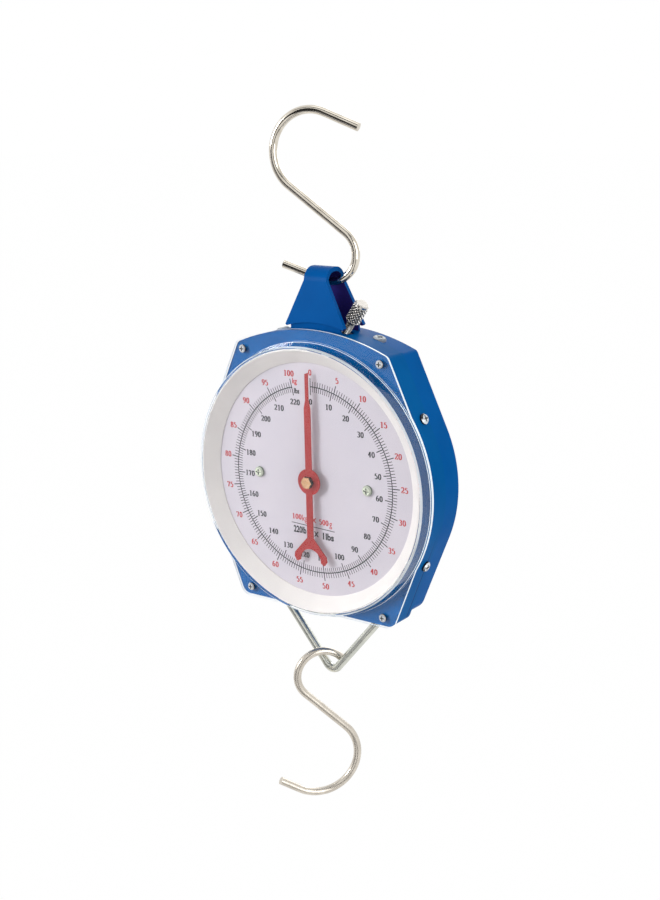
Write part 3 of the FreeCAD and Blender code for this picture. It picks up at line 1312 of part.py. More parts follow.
hook("upper_hook", 1, (S.bow_x, S.bow_z, S.bow_r), (S.bow_tail, S.bow_tail_long),
     (S.eyelet_x, S.eyelet_z, S.eyelet_r), (S.eyelet_tail, S.eyelet_tail_long), S.hook_turn)
hook("lower_hook", -1, (S.low_bow_x, S.low_bow_z, S.low_bow_r), (S.low_bow_tail, S.low_bow_tail_long),
     (S.low_eye_x, S.low_eye_z, S.low_eye_r), (S.low_eye_tail, S.low_eye_tail_long), S.low_turn)

# --- check and export --------------------------------------------------------------------------
doc.recompute()
for thing in doc.Objects:
    if "Invalid" in thing.State or "Error" in thing.State:
        raise RuntimeError(f"{thing.Name} did not recompute: {thing.State}")
os.makedirs("parts", exist_ok=True)
for thing in NODES:
    shape = Part.getShape(thing)
    if shape.isNull() or not shape.isValid() or shape.Volume <= 0:
        raise RuntimeError(f"{thing.Label} has no sound shape")
    shape.exportStep(f"parts/{thing.Label}.step")
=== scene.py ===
import json
import math

import bmesh
import bpy
from mathutils import Matrix, Vector


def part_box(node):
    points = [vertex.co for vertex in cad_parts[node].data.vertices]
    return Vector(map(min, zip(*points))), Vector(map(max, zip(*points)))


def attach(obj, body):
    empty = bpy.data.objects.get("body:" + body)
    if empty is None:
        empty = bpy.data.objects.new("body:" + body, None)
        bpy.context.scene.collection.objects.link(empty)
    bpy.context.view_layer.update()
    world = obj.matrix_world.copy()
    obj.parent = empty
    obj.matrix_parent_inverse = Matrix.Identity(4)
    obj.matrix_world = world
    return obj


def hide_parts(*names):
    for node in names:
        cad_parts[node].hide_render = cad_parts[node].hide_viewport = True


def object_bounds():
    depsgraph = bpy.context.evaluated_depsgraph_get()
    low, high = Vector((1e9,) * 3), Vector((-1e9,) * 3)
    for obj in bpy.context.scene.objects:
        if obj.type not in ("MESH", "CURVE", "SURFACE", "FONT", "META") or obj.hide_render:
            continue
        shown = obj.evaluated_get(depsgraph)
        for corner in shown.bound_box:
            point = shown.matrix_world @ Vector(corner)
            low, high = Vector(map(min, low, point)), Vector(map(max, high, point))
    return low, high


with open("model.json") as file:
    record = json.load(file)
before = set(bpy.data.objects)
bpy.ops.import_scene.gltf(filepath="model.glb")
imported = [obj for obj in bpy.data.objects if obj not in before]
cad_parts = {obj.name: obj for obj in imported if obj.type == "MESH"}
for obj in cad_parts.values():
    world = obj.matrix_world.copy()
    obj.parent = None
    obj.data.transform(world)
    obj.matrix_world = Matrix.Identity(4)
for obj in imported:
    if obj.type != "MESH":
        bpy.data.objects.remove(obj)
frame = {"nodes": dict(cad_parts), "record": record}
cad_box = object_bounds()
MM = 0.001
X, Y, Z = range(3)  # the axes, as an index

# --- camera ------------------------------------------------------------------------------------


def direction(azimuth, elevation):
    """Unit vector in degrees: azimuth 0 is -Y, in front of the dial, and 90 is +X."""
    azimuth, elevation = math.radians(azimuth), math.radians(elevation)
    level = math.cos(elevation)
    return Vector((math.sin(azimuth) * level, -math.cos(azimuth) * level, math.sin(elevation)))


def aim_camera(place, azimuth, elevation, roll, lens):
    """Azimuth 0 looks along +Y; a positive roll turns the camera to its left."""
    back = direction(azimuth, elevation)
    right = direction(azimuth + 90, 0)
    up = back.cross(right)
    turned = (Matrix.Rotation(math.radians(roll), 3, back)
              @ Matrix((right, up, back)).transposed())
    camera = bpy.data.objects.new("camera", bpy.data.cameras.new("camera"))
    bpy.context.scene.collection.objects.link(camera)
    camera.matrix_world = Matrix.Translation(place) @ turned.to_4x4()
    camera.data.lens = lens
    camera.data.clip_start = 0.01
    camera.data.clip_end = 50
    bpy.context.scene.camera = camera


aim_camera(place=(0.59064, -0.79654, 0.01833), azimuth=36.48, elevation=14.59, roll=-1.29,
           lens=55.63)

# --- shader maths ------------------------------------------------------------------------------


def operator(operation, swapped=False):
    """A method of Number that adds a Math node."""
    def method(self, other):
        return self.nodes.math(operation, *((other, self) if swapped else (self, other)))
    return method


class Number:
    """A number in a node tree, which Python's operators work on."""

    def __init__(self, nodes, socket):
        self.nodes = nodes
        self.socket = socket

    __add__ = __radd__ = operator("ADD")
    __mul__ = __rmul__ = operator("MULTIPLY")
    __sub__ = operator("SUBTRACT")
    __rsub__ = operator("SUBTRACT", swapped=True)
    __lt__ = operator("LESS_THAN")
    __gt__ = operator("GREATER_THAN")


class Nodes:
    """A node tree, of a material or the world, and the ways to add to it."""

    def __init__(self, tree):
        self.tree = tree

    def feed(self, node, values):
        """Values, or links, of a node's sockets by name or number."""
        for name, value in values.items():
            if isinstance(value, Number):
                value = value.socket
            if isinstance(value, bpy.types.NodeSocket):
                self.tree.links.new(value, node.inputs[name])
            else:
                node.inputs[name].default_value = value

    def node(self, kind, settings=None, values=None):
        node = self.tree.nodes.new(kind)
        for name, value in (settings or {}).items():
            setattr(node, name, value)
        self.feed(node, values or {})
        return node

    def math(self, operation, *values):
        node = self.node("ShaderNodeMath", {"operation": operation}, dict(enumerate(values)))
        return Number(self, node.outputs[0])

    def split(self, vector):
        node = self.node("ShaderNodeSeparateXYZ", values={0: vector})
        return [Number(self, socket) for socket in node.outputs]

    def mix(self, share, first, second):
        """Colour that goes from first to second as share goes from 0 to 1."""
        node = self.node("ShaderNodeMix", {"data_type": "RGBA"}, {0: share, 6: first, 7: second})
        return node.outputs[2]

    def blend(self, share, first, second):
        """Shader that goes from first to second as share goes from 0 to 1."""
        return self.node("ShaderNodeMixShader", None, {0: share, 1: first, 2: second}).outputs[0]

    def span(self, value, low, high, to_low=0.0, to_high=1.0):
        """to_low where value is low or less, to_high where it is high or more, even between."""
        node = self.node("ShaderNodeMapRange", {"clamp": True},
                         {0: value, 1: low, 2: high, 3: to_low, 4: to_high})
        return Number(self, node.outputs[0])


class Finish(Nodes):
    """One material: its Principled shader and the numbers that vary over its piece."""

    def __init__(self, name, **settings):
        self.material = bpy.data.materials.new(name)
        self.material.use_nodes = True
        super().__init__(self.material.node_tree)
        self.shader = self.tree.nodes["Principled BSDF"]
        self.coordinates = self.node("ShaderNodeTexCoord").outputs
        self.set(**settings)

    def set(self, **settings):
        """Sockets of the Principled shader by name, with _ for a space."""
        self.feed(self.shader, {name.replace("_", " "): value for name, value in settings.items()})

    def surface(self, shader):
        """Another shader than the Principled one for the whole surface."""
        self.feed(self.tree.nodes["Material Output"], {"Surface": shader})

    def place(self):
        """Where on the piece, along X, Y and Z."""
        return self.split(self.coordinates["Object"])

    def facing(self, axis):
        """How far a face turns towards one of the piece's axes, from -1 to 1."""
        return self.split(self.coordinates["Normal"])[axis]

    def noise(self, size, detail=2.0, rough=0.5):
        """Noise whose features are about size metres across."""
        node = self.node("ShaderNodeTexNoise", None, {
            "Vector": self.coordinates["Object"], "Scale": 1 / size, "Detail": detail,
            "Roughness": rough})
        return Number(self, node.outputs[0])

    def bump(self, height, depth, strength=1.0):
        node = self.node("ShaderNodeBump", None, {
            "Height": height, "Distance": depth, "Strength": strength})
        self.set(Normal=node.outputs[0])


def tint(red, green, blue):
    """Linear colour from the 0 to 255 values of a paint chart."""
    parts = [v / 255 for v in (red, green, blue)]
    return (*(v / 12.92 if v <= 0.04045 else ((v + 0.055) / 1.055) ** 2.4 for v in parts), 1)


# --- places on the CAD -------------------------------------------------------------------------

plate_low, plate_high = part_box("dial_plate")
DIAL = Vector(((plate_low.x + plate_high.x) / 2, plate_low.y, (plate_low.z + plate_high.z) / 2))
ring_low, ring_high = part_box("dial_ring")
RING_TO_EDGE = 1.2 * MM  # from the ring's rim out to the sloped edge around the clear window
WINDOW_R = (ring_high.x - ring_low.x) / 2 + RING_TO_EDGE
WINDOW_EDGE = 1.5 * MM  # depth of that sloped edge
window_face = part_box("lens_cover")[0].y
case_low, case_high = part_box("front_case")
FLANGE = 1.9 * MM  # the clear cover's flange and the gap behind it
CREASE = 14.5 * MM  # from the case's face back to the pressed crease in its side wall
FLANK_LOW = case_low.z + (case_high.z - case_low.z) * 0.2  # up to here it has its full depth
CREASE_FADES = 30 * MM  # and then it runs out over this height
COVER_RECESS = 0.85 * MM  # the cover screws' cross recess, a little short of its floor; from there on the recess gets painted shade

# --- finishes ----------------------------------------------------------------------------------


def plated(name, light, dark, rough, grain=0.4 * MM, marks_depth=0.0005 * MM, metal=1.0,
           painted_shade=None):
    """Bright metal: cloudy colour, roughness in patches and fine marks, grain metres across. Its
    last argument, if given, takes the finish and gives the share of a near black: painted shade."""
    made = Finish(name, Metallic=metal)
    cloud = made.noise(9 * MM, 3)
    marks = made.noise(grain, 4, 0.7)
    colour = made.mix(made.span(cloud, 0.35, 0.65), light, dark)
    # painted shade: a near black over the metal where the mask puts shade
    if painted_shade:
        colour = made.mix(painted_shade(made), colour, tint(52, 52, 56))
    made.set(Base_Color=colour,
             Roughness=made.span(cloud + marks * 0.3, 0.4, 0.9, rough * 0.8, rough * 1.25))
    made.bump(marks, marks_depth)
    return made.material


def off_axis(axis, floor=None):
    """Painted shade on the sides of a screw head and in its recess: faces that turn away from the
    axis. With floor, the recess is painted dark all over, from that depth on, as painted shade."""
    def share(made):
        sides = made.span(made.math("ABSOLUTE", made.facing(axis)), 0.55, 0.8, 1, 0)
        if floor is None:
            return sides
        return made.math("MAXIMUM", sides, (made.place()[axis] > floor) * 0.9)
    return share


def hollows(made):
    """Painted shade low in the knurl and the thread, from the mesh's own height attribute."""
    height = made.node("ShaderNodeAttribute", {"attribute_name": "height"}).outputs["Fac"]
    return made.span(height, 0.3, 0.8, 0.95, 0)


def enamel(name, colour, deep, crease=None, inside=False, shine=0.015):
    """Sprayed enamel: fine orange peel, dust nibs, a little uneven in colour. A pressed crease at
    depth crease runs down the lower flanks, with a dark line of painted shadow in it. With inside,
    the rear leg's inner face and the faces turned down get painted shade."""
    made = Finish(name, Specular_IOR_Level=shine)
    cloud = made.noise(30 * MM, 3)
    peel = made.noise(1.6 * MM, 2)
    dust = made.noise(0.35 * MM, 3, 0.7)
    paint = made.mix(made.span(cloud, 0.3, 0.7), colour, deep)
    height = peel + dust * 0.15
    if crease is not None:
        _, y, z = made.place()
        off = made.math("ABSOLUTE", y - crease)
        groove_and_shade = (made.span(off, 0.3 * MM, 0.8 * MM, 1, 0)
                  * made.span(z, FLANK_LOW, FLANK_LOW + CREASE_FADES, 1, 0))
        # painted shadow: the crease is painted darker, as if its step cast a shadow; the bump is
        # the real crease
        paint = made.mix(groove_and_shade * 0.75, paint, tint(0, 44, 104))
        height = height - groove_and_shade * 4
    # painted shade: the rear leg's inner face and the undersides are painted dark purple-blue
    if inside:
        rear_leg = made.place()[Y] > 0
        in_painted_shade = made.math("MAXIMUM", (made.facing(Y) < -0.3) * rear_leg, made.facing(Z) < -0.2)
        paint = made.mix(in_painted_shade * 0.85, paint, tint(52, 22, 104))
    made.set(Base_Color=paint, Roughness=made.span(dust + cloud * 0.4, 0.45, 0.95, 0.26, 0.4))
    made.bump(height, 0.02 * MM)
    return made.material


def moulded(name, colour, shade, rough=0.35):
    """Moulded plastic: faint flow marks and a fine stipple."""
    made = Finish(name, Specular_IOR_Level=0.35)
    flow = made.noise(25 * MM, 2)
    stipple = made.noise(0.25 * MM, 2)
    made.set(Base_Color=made.mix(made.span(flow, 0.3, 0.7), colour, shade),
             Roughness=made.span(stipple, 0.3, 0.7, rough * 0.85, rough * 1.15))
    made.bump(stipple, 0.008 * MM)
    return made.material


def clear_plastic(flange_face, edge_back):
    """Clear acrylic with a trace of moulding waves. Its sawn rim, behind flange_face and facing
    sideways, is frosted and pale with a painted glow, a painted highlight, and half as much so is
    the sloped edge around the window, in front of edge_back. Lamps shine through the rest."""
    made = Finish("clear_acrylic", Base_Color=(0.985, 0.995, 1.0, 1), Transmission_Weight=1.0,
                  IOR=1.49)
    wave = made.noise(60 * MM, 1)
    haze = made.noise(6 * MM, 3)
    made.set(Roughness=made.span(haze, 0.3, 0.8, 0.0, 0.02))
    made.bump(wave, 0.05 * MM, 0.3)
    rays = made.node("ShaderNodeLightPath").outputs
    through = made.node("ShaderNodeBsdfTransparent", None, {"Color": (0.96, 0.98, 0.985, 1)})
    clear = made.blend(rays["Is Shadow Ray"], made.shader.outputs[0], through.outputs[0])
    facing = made.facing(Y)
    sideways = facing * facing < 0.2
    x, y, z = made.place()
    in_flange = y > flange_face - 0.05 * MM
    up = z - DIAL.z
    from_middle = made.math("SQRT", x * x + up * up)
    on_edge = (y < edge_back) * (from_middle > WINDOW_R)
    # painted highlight: a pale, slightly glowing shader on the rim and the window's edge
    rim_glow_share = made.math("MAXIMUM", sideways * in_flange, on_edge * 0.5)
    glowing_rim = made.node("ShaderNodeBsdfPrincipled", None, {
        "Base Color": tint(236, 246, 252), "Roughness": 0.35, "Emission Color": (0.9, 0.96, 1, 1),
        "Emission Strength": 0.25})
    made.surface(made.blend(rim_glow_share, clear, glowing_rim.outputs[0]))
    return made.material


def card(name, colour, shade, painted_shade=None, painted_shade_tint=None):
    """Matt paint with a breath of unevenness. If the last two arguments are given, the first takes
    the finish and gives the share of the second colour: painted shade."""
    made = Finish(name, Specular_IOR_Level=0.2)
    cloud = made.noise(35 * MM, 2)
    tooth = made.noise(0.3 * MM, 2)
    paint = made.mix(made.span(cloud, 0.3, 0.7), colour, shade)
    if painted_shade:
        # painted shade in the given colour where the mask says
        paint = made.mix(painted_shade(made), paint, painted_shade_tint)
    made.set(Base_Color=paint, Roughness=made.span(tooth, 0.3, 0.7, 0.42, 0.55))
    made.bump(tooth, 0.006 * MM)
    return made.material


def ink(name, colour, faded):
    """Screen-printed ink, a little uneven in strength."""
    made = Finish(name, Specular_IOR_Level=0.15)
    speckle = made.noise(0.3 * MM, 3, 0.6)
    made.set(Base_Color=made.mix(made.span(speckle, 0.35, 0.75), colour, faded),
             Roughness=made.span(speckle, 0.3, 0.7, 0.4, 0.55))
    return made.material


def coiled(name, colour, scale_colour):
    """Oil-tempered spring wire: dark, drawn lines and thin grey scale."""
    made = Finish(name, Metallic=0.8)
    scale = made.noise(3 * MM, 4, 0.6)
    drawn = made.noise(0.2 * MM, 2)
    made.set(Base_Color=made.mix(made.span(scale, 0.4, 0.65), colour, scale_colour),
             Roughness=made.span(scale + drawn * 0.3, 0.4, 0.9, 0.32, 0.5))
    made.bump(drawn, 0.005 * MM)
    return made.material


nickel = plated("nickel_plate", tint(224, 217, 204), tint(204, 196, 182), rough=0.1)
satin_nickel = plated("satin_nickel", tint(222, 214, 201), tint(204, 196, 184), rough=0.24,
                      grain=0.5 * MM, marks_depth=0.002 * MM, metal=0.75)
dull_nickel = plated("dull_nickel", tint(222, 222, 211), tint(202, 204, 195), rough=0.2,
                     grain=0.5 * MM, marks_depth=0.002 * MM, metal=0.75)
zinc = plated("zinc_plate", tint(226, 228, 228), tint(204, 208, 210), rough=0.2)
pressed_zinc = plated("pressed_zinc", tint(190, 192, 190), tint(168, 172, 172), rough=0.38,
                      grain=0.8 * MM, marks_depth=0.01 * MM)
ground_steel = plated("ground_steel", tint(205, 204, 200), tint(184, 184, 182), rough=0.22,
                      grain=0.25 * MM)
brass = plated("brass", tint(232, 190, 144), tint(206, 160, 112), rough=0.18, metal=0.8)
# The nut, the knurled and threaded steel and the screws below get painted shade on their sides, in
# the cover screws' recesses and low in the knurl and thread.
brass_nut = plated("brass_nut", tint(236, 196, 156), tint(214, 166, 122), rough=0.14,
                   metal=0.8, painted_shade=off_axis(Y))
knurled_steel = plated("knurled_steel", tint(226, 222, 214), tint(204, 200, 194), rough=0.2,
                       grain=0.3 * MM, painted_shade=hollows)
threaded_steel = plated("threaded_steel", tint(205, 204, 200), tint(184, 184, 182), rough=0.22,
                        grain=0.25 * MM, painted_shade=hollows)
face_screws = plated("face_screws", tint(232, 238, 242), tint(214, 222, 228), rough=0.16,
                     grain=0.5 * MM, metal=0.6, painted_shade=off_axis(Y))
cover_screws = plated("cover_screws", tint(244, 247, 249), tint(228, 234, 238), rough=0.16,
                      grain=0.5 * MM, metal=0.3,
                      painted_shade=off_axis(Y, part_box("cover_screws")[0].y + COVER_RECESS))
flank_screws = plated("flank_screws", tint(232, 238, 242), tint(214, 222, 228), rough=0.16,
                      grain=0.5 * MM, metal=0.6, painted_shade=off_axis(X))
cast_alloy = plated("cast_alloy", tint(176, 178, 180), tint(150, 152, 156), rough=0.5,
                    grain=1.2 * MM, marks_depth=0.03 * MM)
spring_wire = coiled("spring_wire", tint(92, 90, 90), tint(122, 120, 116))
blue_enamel = enamel("blue_enamel", tint(0, 98, 174), tint(0, 91, 165))
yoke_enamel = enamel("yoke_enamel", tint(0, 90, 166), tint(0, 84, 158), inside=True, shine=0.03)
front_enamel = enamel("front_enamel", tint(0, 99, 168), tint(0, 92, 160),
                      crease=case_low.y + CREASE)
ring_plastic = moulded("ring_plastic", tint(236, 229, 225), tint(230, 223, 220))
nylon = moulded("nylon", tint(228, 226, 214), tint(220, 217, 204), rough=0.5)
acrylic = clear_plastic(flange_face=case_low.y - FLANGE, edge_back=window_face + WINDOW_EDGE)
dial_card = card("dial_card", tint(212, 203, 211), tint(207, 199, 208))
# Both screw paints get a painted shade on the sides of their heads.
screw_paint = card("screw_paint", tint(224, 228, 208), tint(214, 218, 198),
                   painted_shade=off_axis(Y), painted_shade_tint=tint(112, 122, 108))
top_screw_paint = card("top_screw_paint", tint(222, 228, 232), tint(210, 218, 222),
                       painted_shade=off_axis(Z), painted_shade_tint=tint(140, 148, 158))
pointer_paint = card("pointer_paint", tint(174, 44, 42), tint(166, 39, 38))
red_ink = ink("red_ink", tint(192, 40, 44), tint(202, 62, 64))
black_ink = ink("black_ink", tint(14, 12, 18), tint(30, 28, 34))

WEARS = {
    nickel: ("upper_hook",),
    satin_nickel: ("lower_hook",),
    dull_nickel: ("bail",),
    yoke_enamel: ("yoke",),
    blue_enamel: ("rear_case",),
    front_enamel: ("front_case",),
    acrylic: ("lens_cover",),
    ring_plastic: ("dial_ring",),
    dial_card: ("dial_plate",),
    screw_paint: ("dial_screws",),
    top_screw_paint: ("top_screws",),
    pointer_paint: ("pointer",),
    face_screws: ("yoke_bolts", "rack_screws"),
    cover_screws: ("cover_screws",),
    flank_screws: ("side_screws",),
    zinc: ("post_nuts", "cover_nuts", "side_nuts", "bail_nuts", "screw_clip", "spindle_clips",
           "screw_collar"),
    pressed_zinc: ("front_strap", "rear_strap", "load_bar", "front_spacers", "middle_spacers",
                   "rear_spacers"),
    ground_steel: ("rack_guide_pin", "anchor_guide_pin"),
    brass_nut: ("pointer_nut",),
    brass: ("pinion", "rack", "spindle", "front_bushing", "rear_bushing", "pointer_collar"),
    nylon: ("bail_bushings",),
    cast_alloy: ("hanger_block", "spring_anchor"),
    spring_wire: ("spring_left", "spring_right"),
}
for finish, nodes in WEARS.items():
    for node in nodes:
        frame["nodes"][node].data.materials.clear()
        frame["nodes"][node].data.materials.append(finish)

# --- meshes ------------------------------------------------------------------------------------


def piece(name, bm, material, body):
    """A new object from a bmesh, at the origin, that rides on a body."""
    mesh = bpy.data.meshes.new(name)
    bm.to_mesh(mesh)
    bm.free()
    mesh.materials.append(material)
    made = bpy.data.objects.new(name, mesh)
    bpy.context.scene.collection.objects.link(made)
    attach(made, body)
    return made


def lathe(profile, steps):
    """Bmesh turned round Z from (radius, height) points; its ends on the axis close it."""
    bm = bmesh.new()
    verts = [bm.verts.new((r, 0, z)) for r, z in profile]
    edges = [bm.edges.new(pair) for pair in zip(verts, verts[1:])]
    bmesh.ops.spin(bm, geom=verts + edges, cent=(0, 0, 0), axis=(0, 0, 1), angle=math.tau,
                   steps=steps, dvec=(0, 0, 0), use_merge=True)
    bmesh.ops.remove_doubles(bm, verts=bm.verts, dist=0.001 * MM)
    bmesh.ops.recalc_face_normals(bm, faces=bm.faces)
    return bm


# --- zero adjuster -----------------------------------------------------------------------------
# Both pieces are turned round Z with the knob's end at the origin, then leaned onto the screw's
# line.

zero_joint = next(j for j in frame["record"]["behaviour"]["joints"] if j["name"] == "zero_turn")
KNOB_END = Vector(zero_joint["pos_m"])
KNOB_AXIS = Vector(zero_joint["axis"])
KNOB_CHAMFER = 0.7 * MM
SMOOTH_END = 2.6 * MM  # the knob's end has no knurl
NECK = 0.35 * MM  # and is that much smaller
KNURL_ROWS = 13
KNURL_PITCH = 2.5 * MM
KNURL_DEEP = 0.6 * MM
KNURL_RINGS = 48  # rings of points along the knurl
KNURL_STEPS = 12  # and points in a ring for each row of studs
STUD = 1.6  # steepness of the studs; over 1 they are flat on top
THREAD_R = 3 * MM
THREAD_PITCH = 1 * MM
THREAD_DEEP = 0.42 * MM
CREST = 0.12 * MM  # flat top of the thread


def along_screw(node):
    """How far a CAD node reaches along the screw's line, from the knob's end, and out from it."""
    spots = [vert.co - KNOB_END for vert in frame["nodes"][node].data.vertices]
    heights = [spot.dot(KNOB_AXIS) for spot in spots]
    return min(heights), max(heights), max(spot.cross(KNOB_AXIS).length for spot in spots)


KNOB_LOW, _, KNOB_R = along_screw("zero_knob")


def on_screw_line(bm):
    bmesh.ops.transform(bm, verts=bm.verts, matrix=Matrix.Translation(KNOB_END)
                        @ Vector((0, 0, 1)).rotation_difference(KNOB_AXIS).to_matrix().to_4x4())


def ridge(turns):
    """1 at the middle of each turn, 0 at its ends."""
    return 1 - abs(2 * (turns % 1) - 1)


def knurled_knob():
    """The knob, with the height of its studs as an attribute."""
    low, high = KNOB_LOW + KNOB_CHAMFER, -SMOOTH_END
    profile = [(0, KNOB_LOW), (KNOB_R - KNOB_CHAMFER, KNOB_LOW), (KNOB_R - 0.1 * MM, low)]
    profile += [(KNOB_R, low + (high - low) * i / KNURL_RINGS) for i in range(1, KNURL_RINGS)]
    profile += [(KNOB_R - 0.1 * MM, high), (KNOB_R - NECK, high + 0.15 * MM),
                (KNOB_R - NECK, -KNOB_CHAMFER), (KNOB_R - 0.5 * MM, -KNOB_CHAMFER * 0.4),
                (KNOB_R - KNOB_CHAMFER - 0.4 * MM, 0), (0, 0)]
    bm = lathe(profile, KNURL_ROWS * KNURL_STEPS)
    raised = bm.verts.layers.float.new("height")
    for vert in bm.verts:
        vert[raised] = 1
        if low < vert.co.z < high and vert.co.xy.length > KNOB_R - 0.05 * MM:
            around = math.atan2(vert.co.y, vert.co.x) / math.tau * KNURL_ROWS
            along = vert.co.z / KNURL_PITCH
            stud = min(ridge(around + along), ridge(around - along))
            vert[raised] = min(1, stud * STUD)
            vert.co.xy *= 1 - KNURL_DEEP / KNOB_R * (1 - vert[raised])
    return bm


def threaded_rod():
    """The adjusting screw below the knob, with the height in its thread as an attribute."""
    low, high, _ = along_screw("adjusting_screw")
    root_r = THREAD_R - THREAD_DEEP
    profile = [(0, low), (root_r - THREAD_DEEP, low), (root_r, low + THREAD_DEEP)]
    height = low + THREAD_DEEP + THREAD_PITCH / 2
    while height < KNOB_LOW + THREAD_PITCH:
        profile += [(THREAD_R, height - CREST / 2), (THREAD_R, height + CREST / 2),
                    (root_r, height + THREAD_PITCH / 2)]
        height += THREAD_PITCH
    profile += [(THREAD_R, height), (THREAD_R, high), (0, high)]
    bm = lathe(profile, 32)
    raised = bm.verts.layers.float.new("height")
    for vert in bm.verts:
        vert[raised] = 1 - (THREAD_R - vert.co.xy.length) / THREAD_DEEP
    return bm


knob = knurled_knob()
on_screw_line(knob)
knob = piece("knurled_knob", knob, knurled_steel, "zero_adjuster")
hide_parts("zero_knob")
rod = threaded_rod()
on_screw_line(rod)
rod = piece("threaded_rod", rod, threaded_steel, "zero_adjuster")
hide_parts("adjusting_screw")

# --- dial print --------------------------------------------------------------------------------
# The scale runs clockwise from the top. Kilograms stand outside the circle, pounds inside.

SCALE_R = 70 * MM
FULL_SCALE = math.radians(346.1)
KG_FULL, KG_NUMBERED = 100, 5
LB_FULL, LB_NUMBERED = 220, 10
KG_R, LB_R = 80.3 * MM, 58.9 * MM  # the rings of numbers
INK = 0.02 * MM  # thickness of the print
TICK, LINE = 6.2 * MM, 0.72 * MM  # length and width of a numbered mark
FINE_TICK, FINE_LINE = 3.9 * MM, 0.5 * MM  # and of the marks between


def ticks(bm, spaces, length, width, skip=0):
    """Bars that reach from the scale circle outwards by length, at the start of each space and at
    the scale's end. Every skip-th is left out."""
    for i in range(spaces + 1):
        if skip and i % skip == 0:
            continue
        turned = Matrix.Rotation(i * FULL_SCALE / spaces, 4, "Y")
        bar = Matrix.Diagonal((width, INK, abs(length), 1))
        middle = Matrix.Translation(DIAL + turned @ Vector((0, -INK / 2, SCALE_R + length / 2)))
        bmesh.ops.create_cube(bm, size=1, matrix=middle @ turned @ bar)


def onto_dial(curve, x, z, size, wide):
    """Mesh of a flat curve drawn in X and Y: size high for each of its metres, wide across, and
    stood on the dial at x, z."""
    holder = bpy.data.objects.new(curve.name, curve)
    mesh = bpy.data.meshes.new_from_object(holder)
    thick = max(abs(vert.co.z) for vert in mesh.vertices)
    mesh.transform(Matrix.Translation(DIAL + Vector((x, -INK / 2, z)))
                   @ Matrix.Rotation(math.radians(90), 4, "X")
                   @ Matrix.Diagonal((wide, size, INK / 2 / thick, 1)))
    bpy.data.objects.remove(holder)
    bpy.data.curves.remove(curve)
    return mesh


def add_mesh(bm, mesh):
    bm.from_mesh(mesh)
    bpy.data.meshes.remove(mesh)


CAPITAL = 0.72  # height of the letters in a text of size 1


def words(bm, text, x, z, height, wide, weight):
    """Unit signs in plain letters, in the middle of x, z. weight thickens their strokes."""
    curve = bpy.data.curves.new("words", "FONT")
    curve.body = text
    curve.align_x = "CENTER"
    curve.align_y = "CENTER"
    curve.extrude = 0.01
    curve.offset = weight
    curve.resolution_u = 3
    size = height / CAPITAL
    add_mesh(bm, onto_dial(curve, x, z, size, size * wide))


def arc(x, z, rx, rz, start, end, steps=14):
    """Points of an ellipse; degrees run anticlockwise from the right."""
    angles = [math.radians(start + (end - start) * i / steps) for i in range(steps + 1)]
    return [(x + rx * math.cos(a), z + rz * math.sin(a)) for a in angles]


# Strokes of the dial's numerals in a box 1 wide and 1 high about its middle.
DIGITS = {
    "0": [arc(0, 0, 0.31, 0.46, 0, 360, 24)],
    "1": [[(0.02, -0.46), (0.02, 0.46)], [(-0.26, -0.46), (0.3, -0.46)],
          [(-0.22, 0.32), (0.02, 0.46)]],
    "2": [arc(-0.02, 0.2, 0.29, 0.26, 165, -30) + [(-0.32, -0.44)],
          [(-0.34, -0.45), (0.3, -0.45), (0.33, -0.24)]],
    "3": [arc(-0.03, 0.23, 0.27, 0.23, 150, -90), arc(-0.03, -0.23, 0.31, 0.23, 90, -150)],
    "4": [[(0.12, -0.46), (0.12, 0.46)], [(0.1, 0.42), (-0.34, -0.17)],
          [(-0.36, -0.17), (0.36, -0.17)], [(-0.08, -0.46), (0.32, -0.46)]],
    "5": [[(-0.26, 0.44), (0.28, 0.44)], [(-0.22, 0.44), (-0.24, 0.06)],
          arc(-0.02, -0.16, 0.3, 0.3, 130, -150)],
    "6": [arc(0.0, -0.19, 0.3, 0.27, 0, 360, 20), arc(0.16, -0.16, 0.46, 0.62, 75, 180)],
    "7": [[(-0.3, 0.22), (-0.28, 0.43)], [(-0.3, 0.43), (0.3, 0.43)],
          [(0.27, 0.43), (-0.04, -0.46)]],
    "8": [arc(0, 0.24, 0.24, 0.22, 0, 360, 20), arc(0, -0.22, 0.31, 0.24, 0, 360, 20)],
    "9": [arc(0.0, 0.19, 0.3, 0.27, 0, 360, 20), arc(-0.16, 0.16, 0.46, 0.62, -105, 0)],
    "×": [[(-0.46, -0.4), (0.46, 0.4)], [(-0.46, 0.4), (0.46, -0.4)]],
}
# The pen is broad sideways, so uprights come out thick, and level strokes and feet thin.
PEN = 0.04  # half its height, as a share of the number's
PEN_WIDE = 3.0  # how many times broader it is sideways than upwards


def number(bm, value, x, z, height, pitch):
    """An upright number, or a times sign, in the middle of x, z, its digits a pitch apart."""
    digits = str(value)
    curve = bpy.data.curves.new("number", "CURVE")
    curve.dimensions = "3D"
    curve.bevel_depth = PEN
    curve.bevel_resolution = 1
    curve.use_fill_caps = True
    for place, digit in enumerate(digits):
        middle = (place - (len(digits) - 1) / 2) * pitch
        for stroke in DIGITS[digit]:
            line = curve.splines.new("POLY")
            line.points.add(len(stroke) - 1)
            for point, (across, up) in zip(line.points, stroke):
                point.co = ((middle + across * pitch) / height / PEN_WIDE, up, 0, 1)
    add_mesh(bm, onto_dial(curve, x, z, height, height * PEN_WIDE))


def numerals(bm, top, step, r, height, pitch):
    """Numbers from 0 to top all round the scale, at radius r."""
    for value in range(0, top + 1, step):
        angle = FULL_SCALE * value / top
        number(bm, value, r * math.sin(angle), r * math.cos(angle), height, pitch)


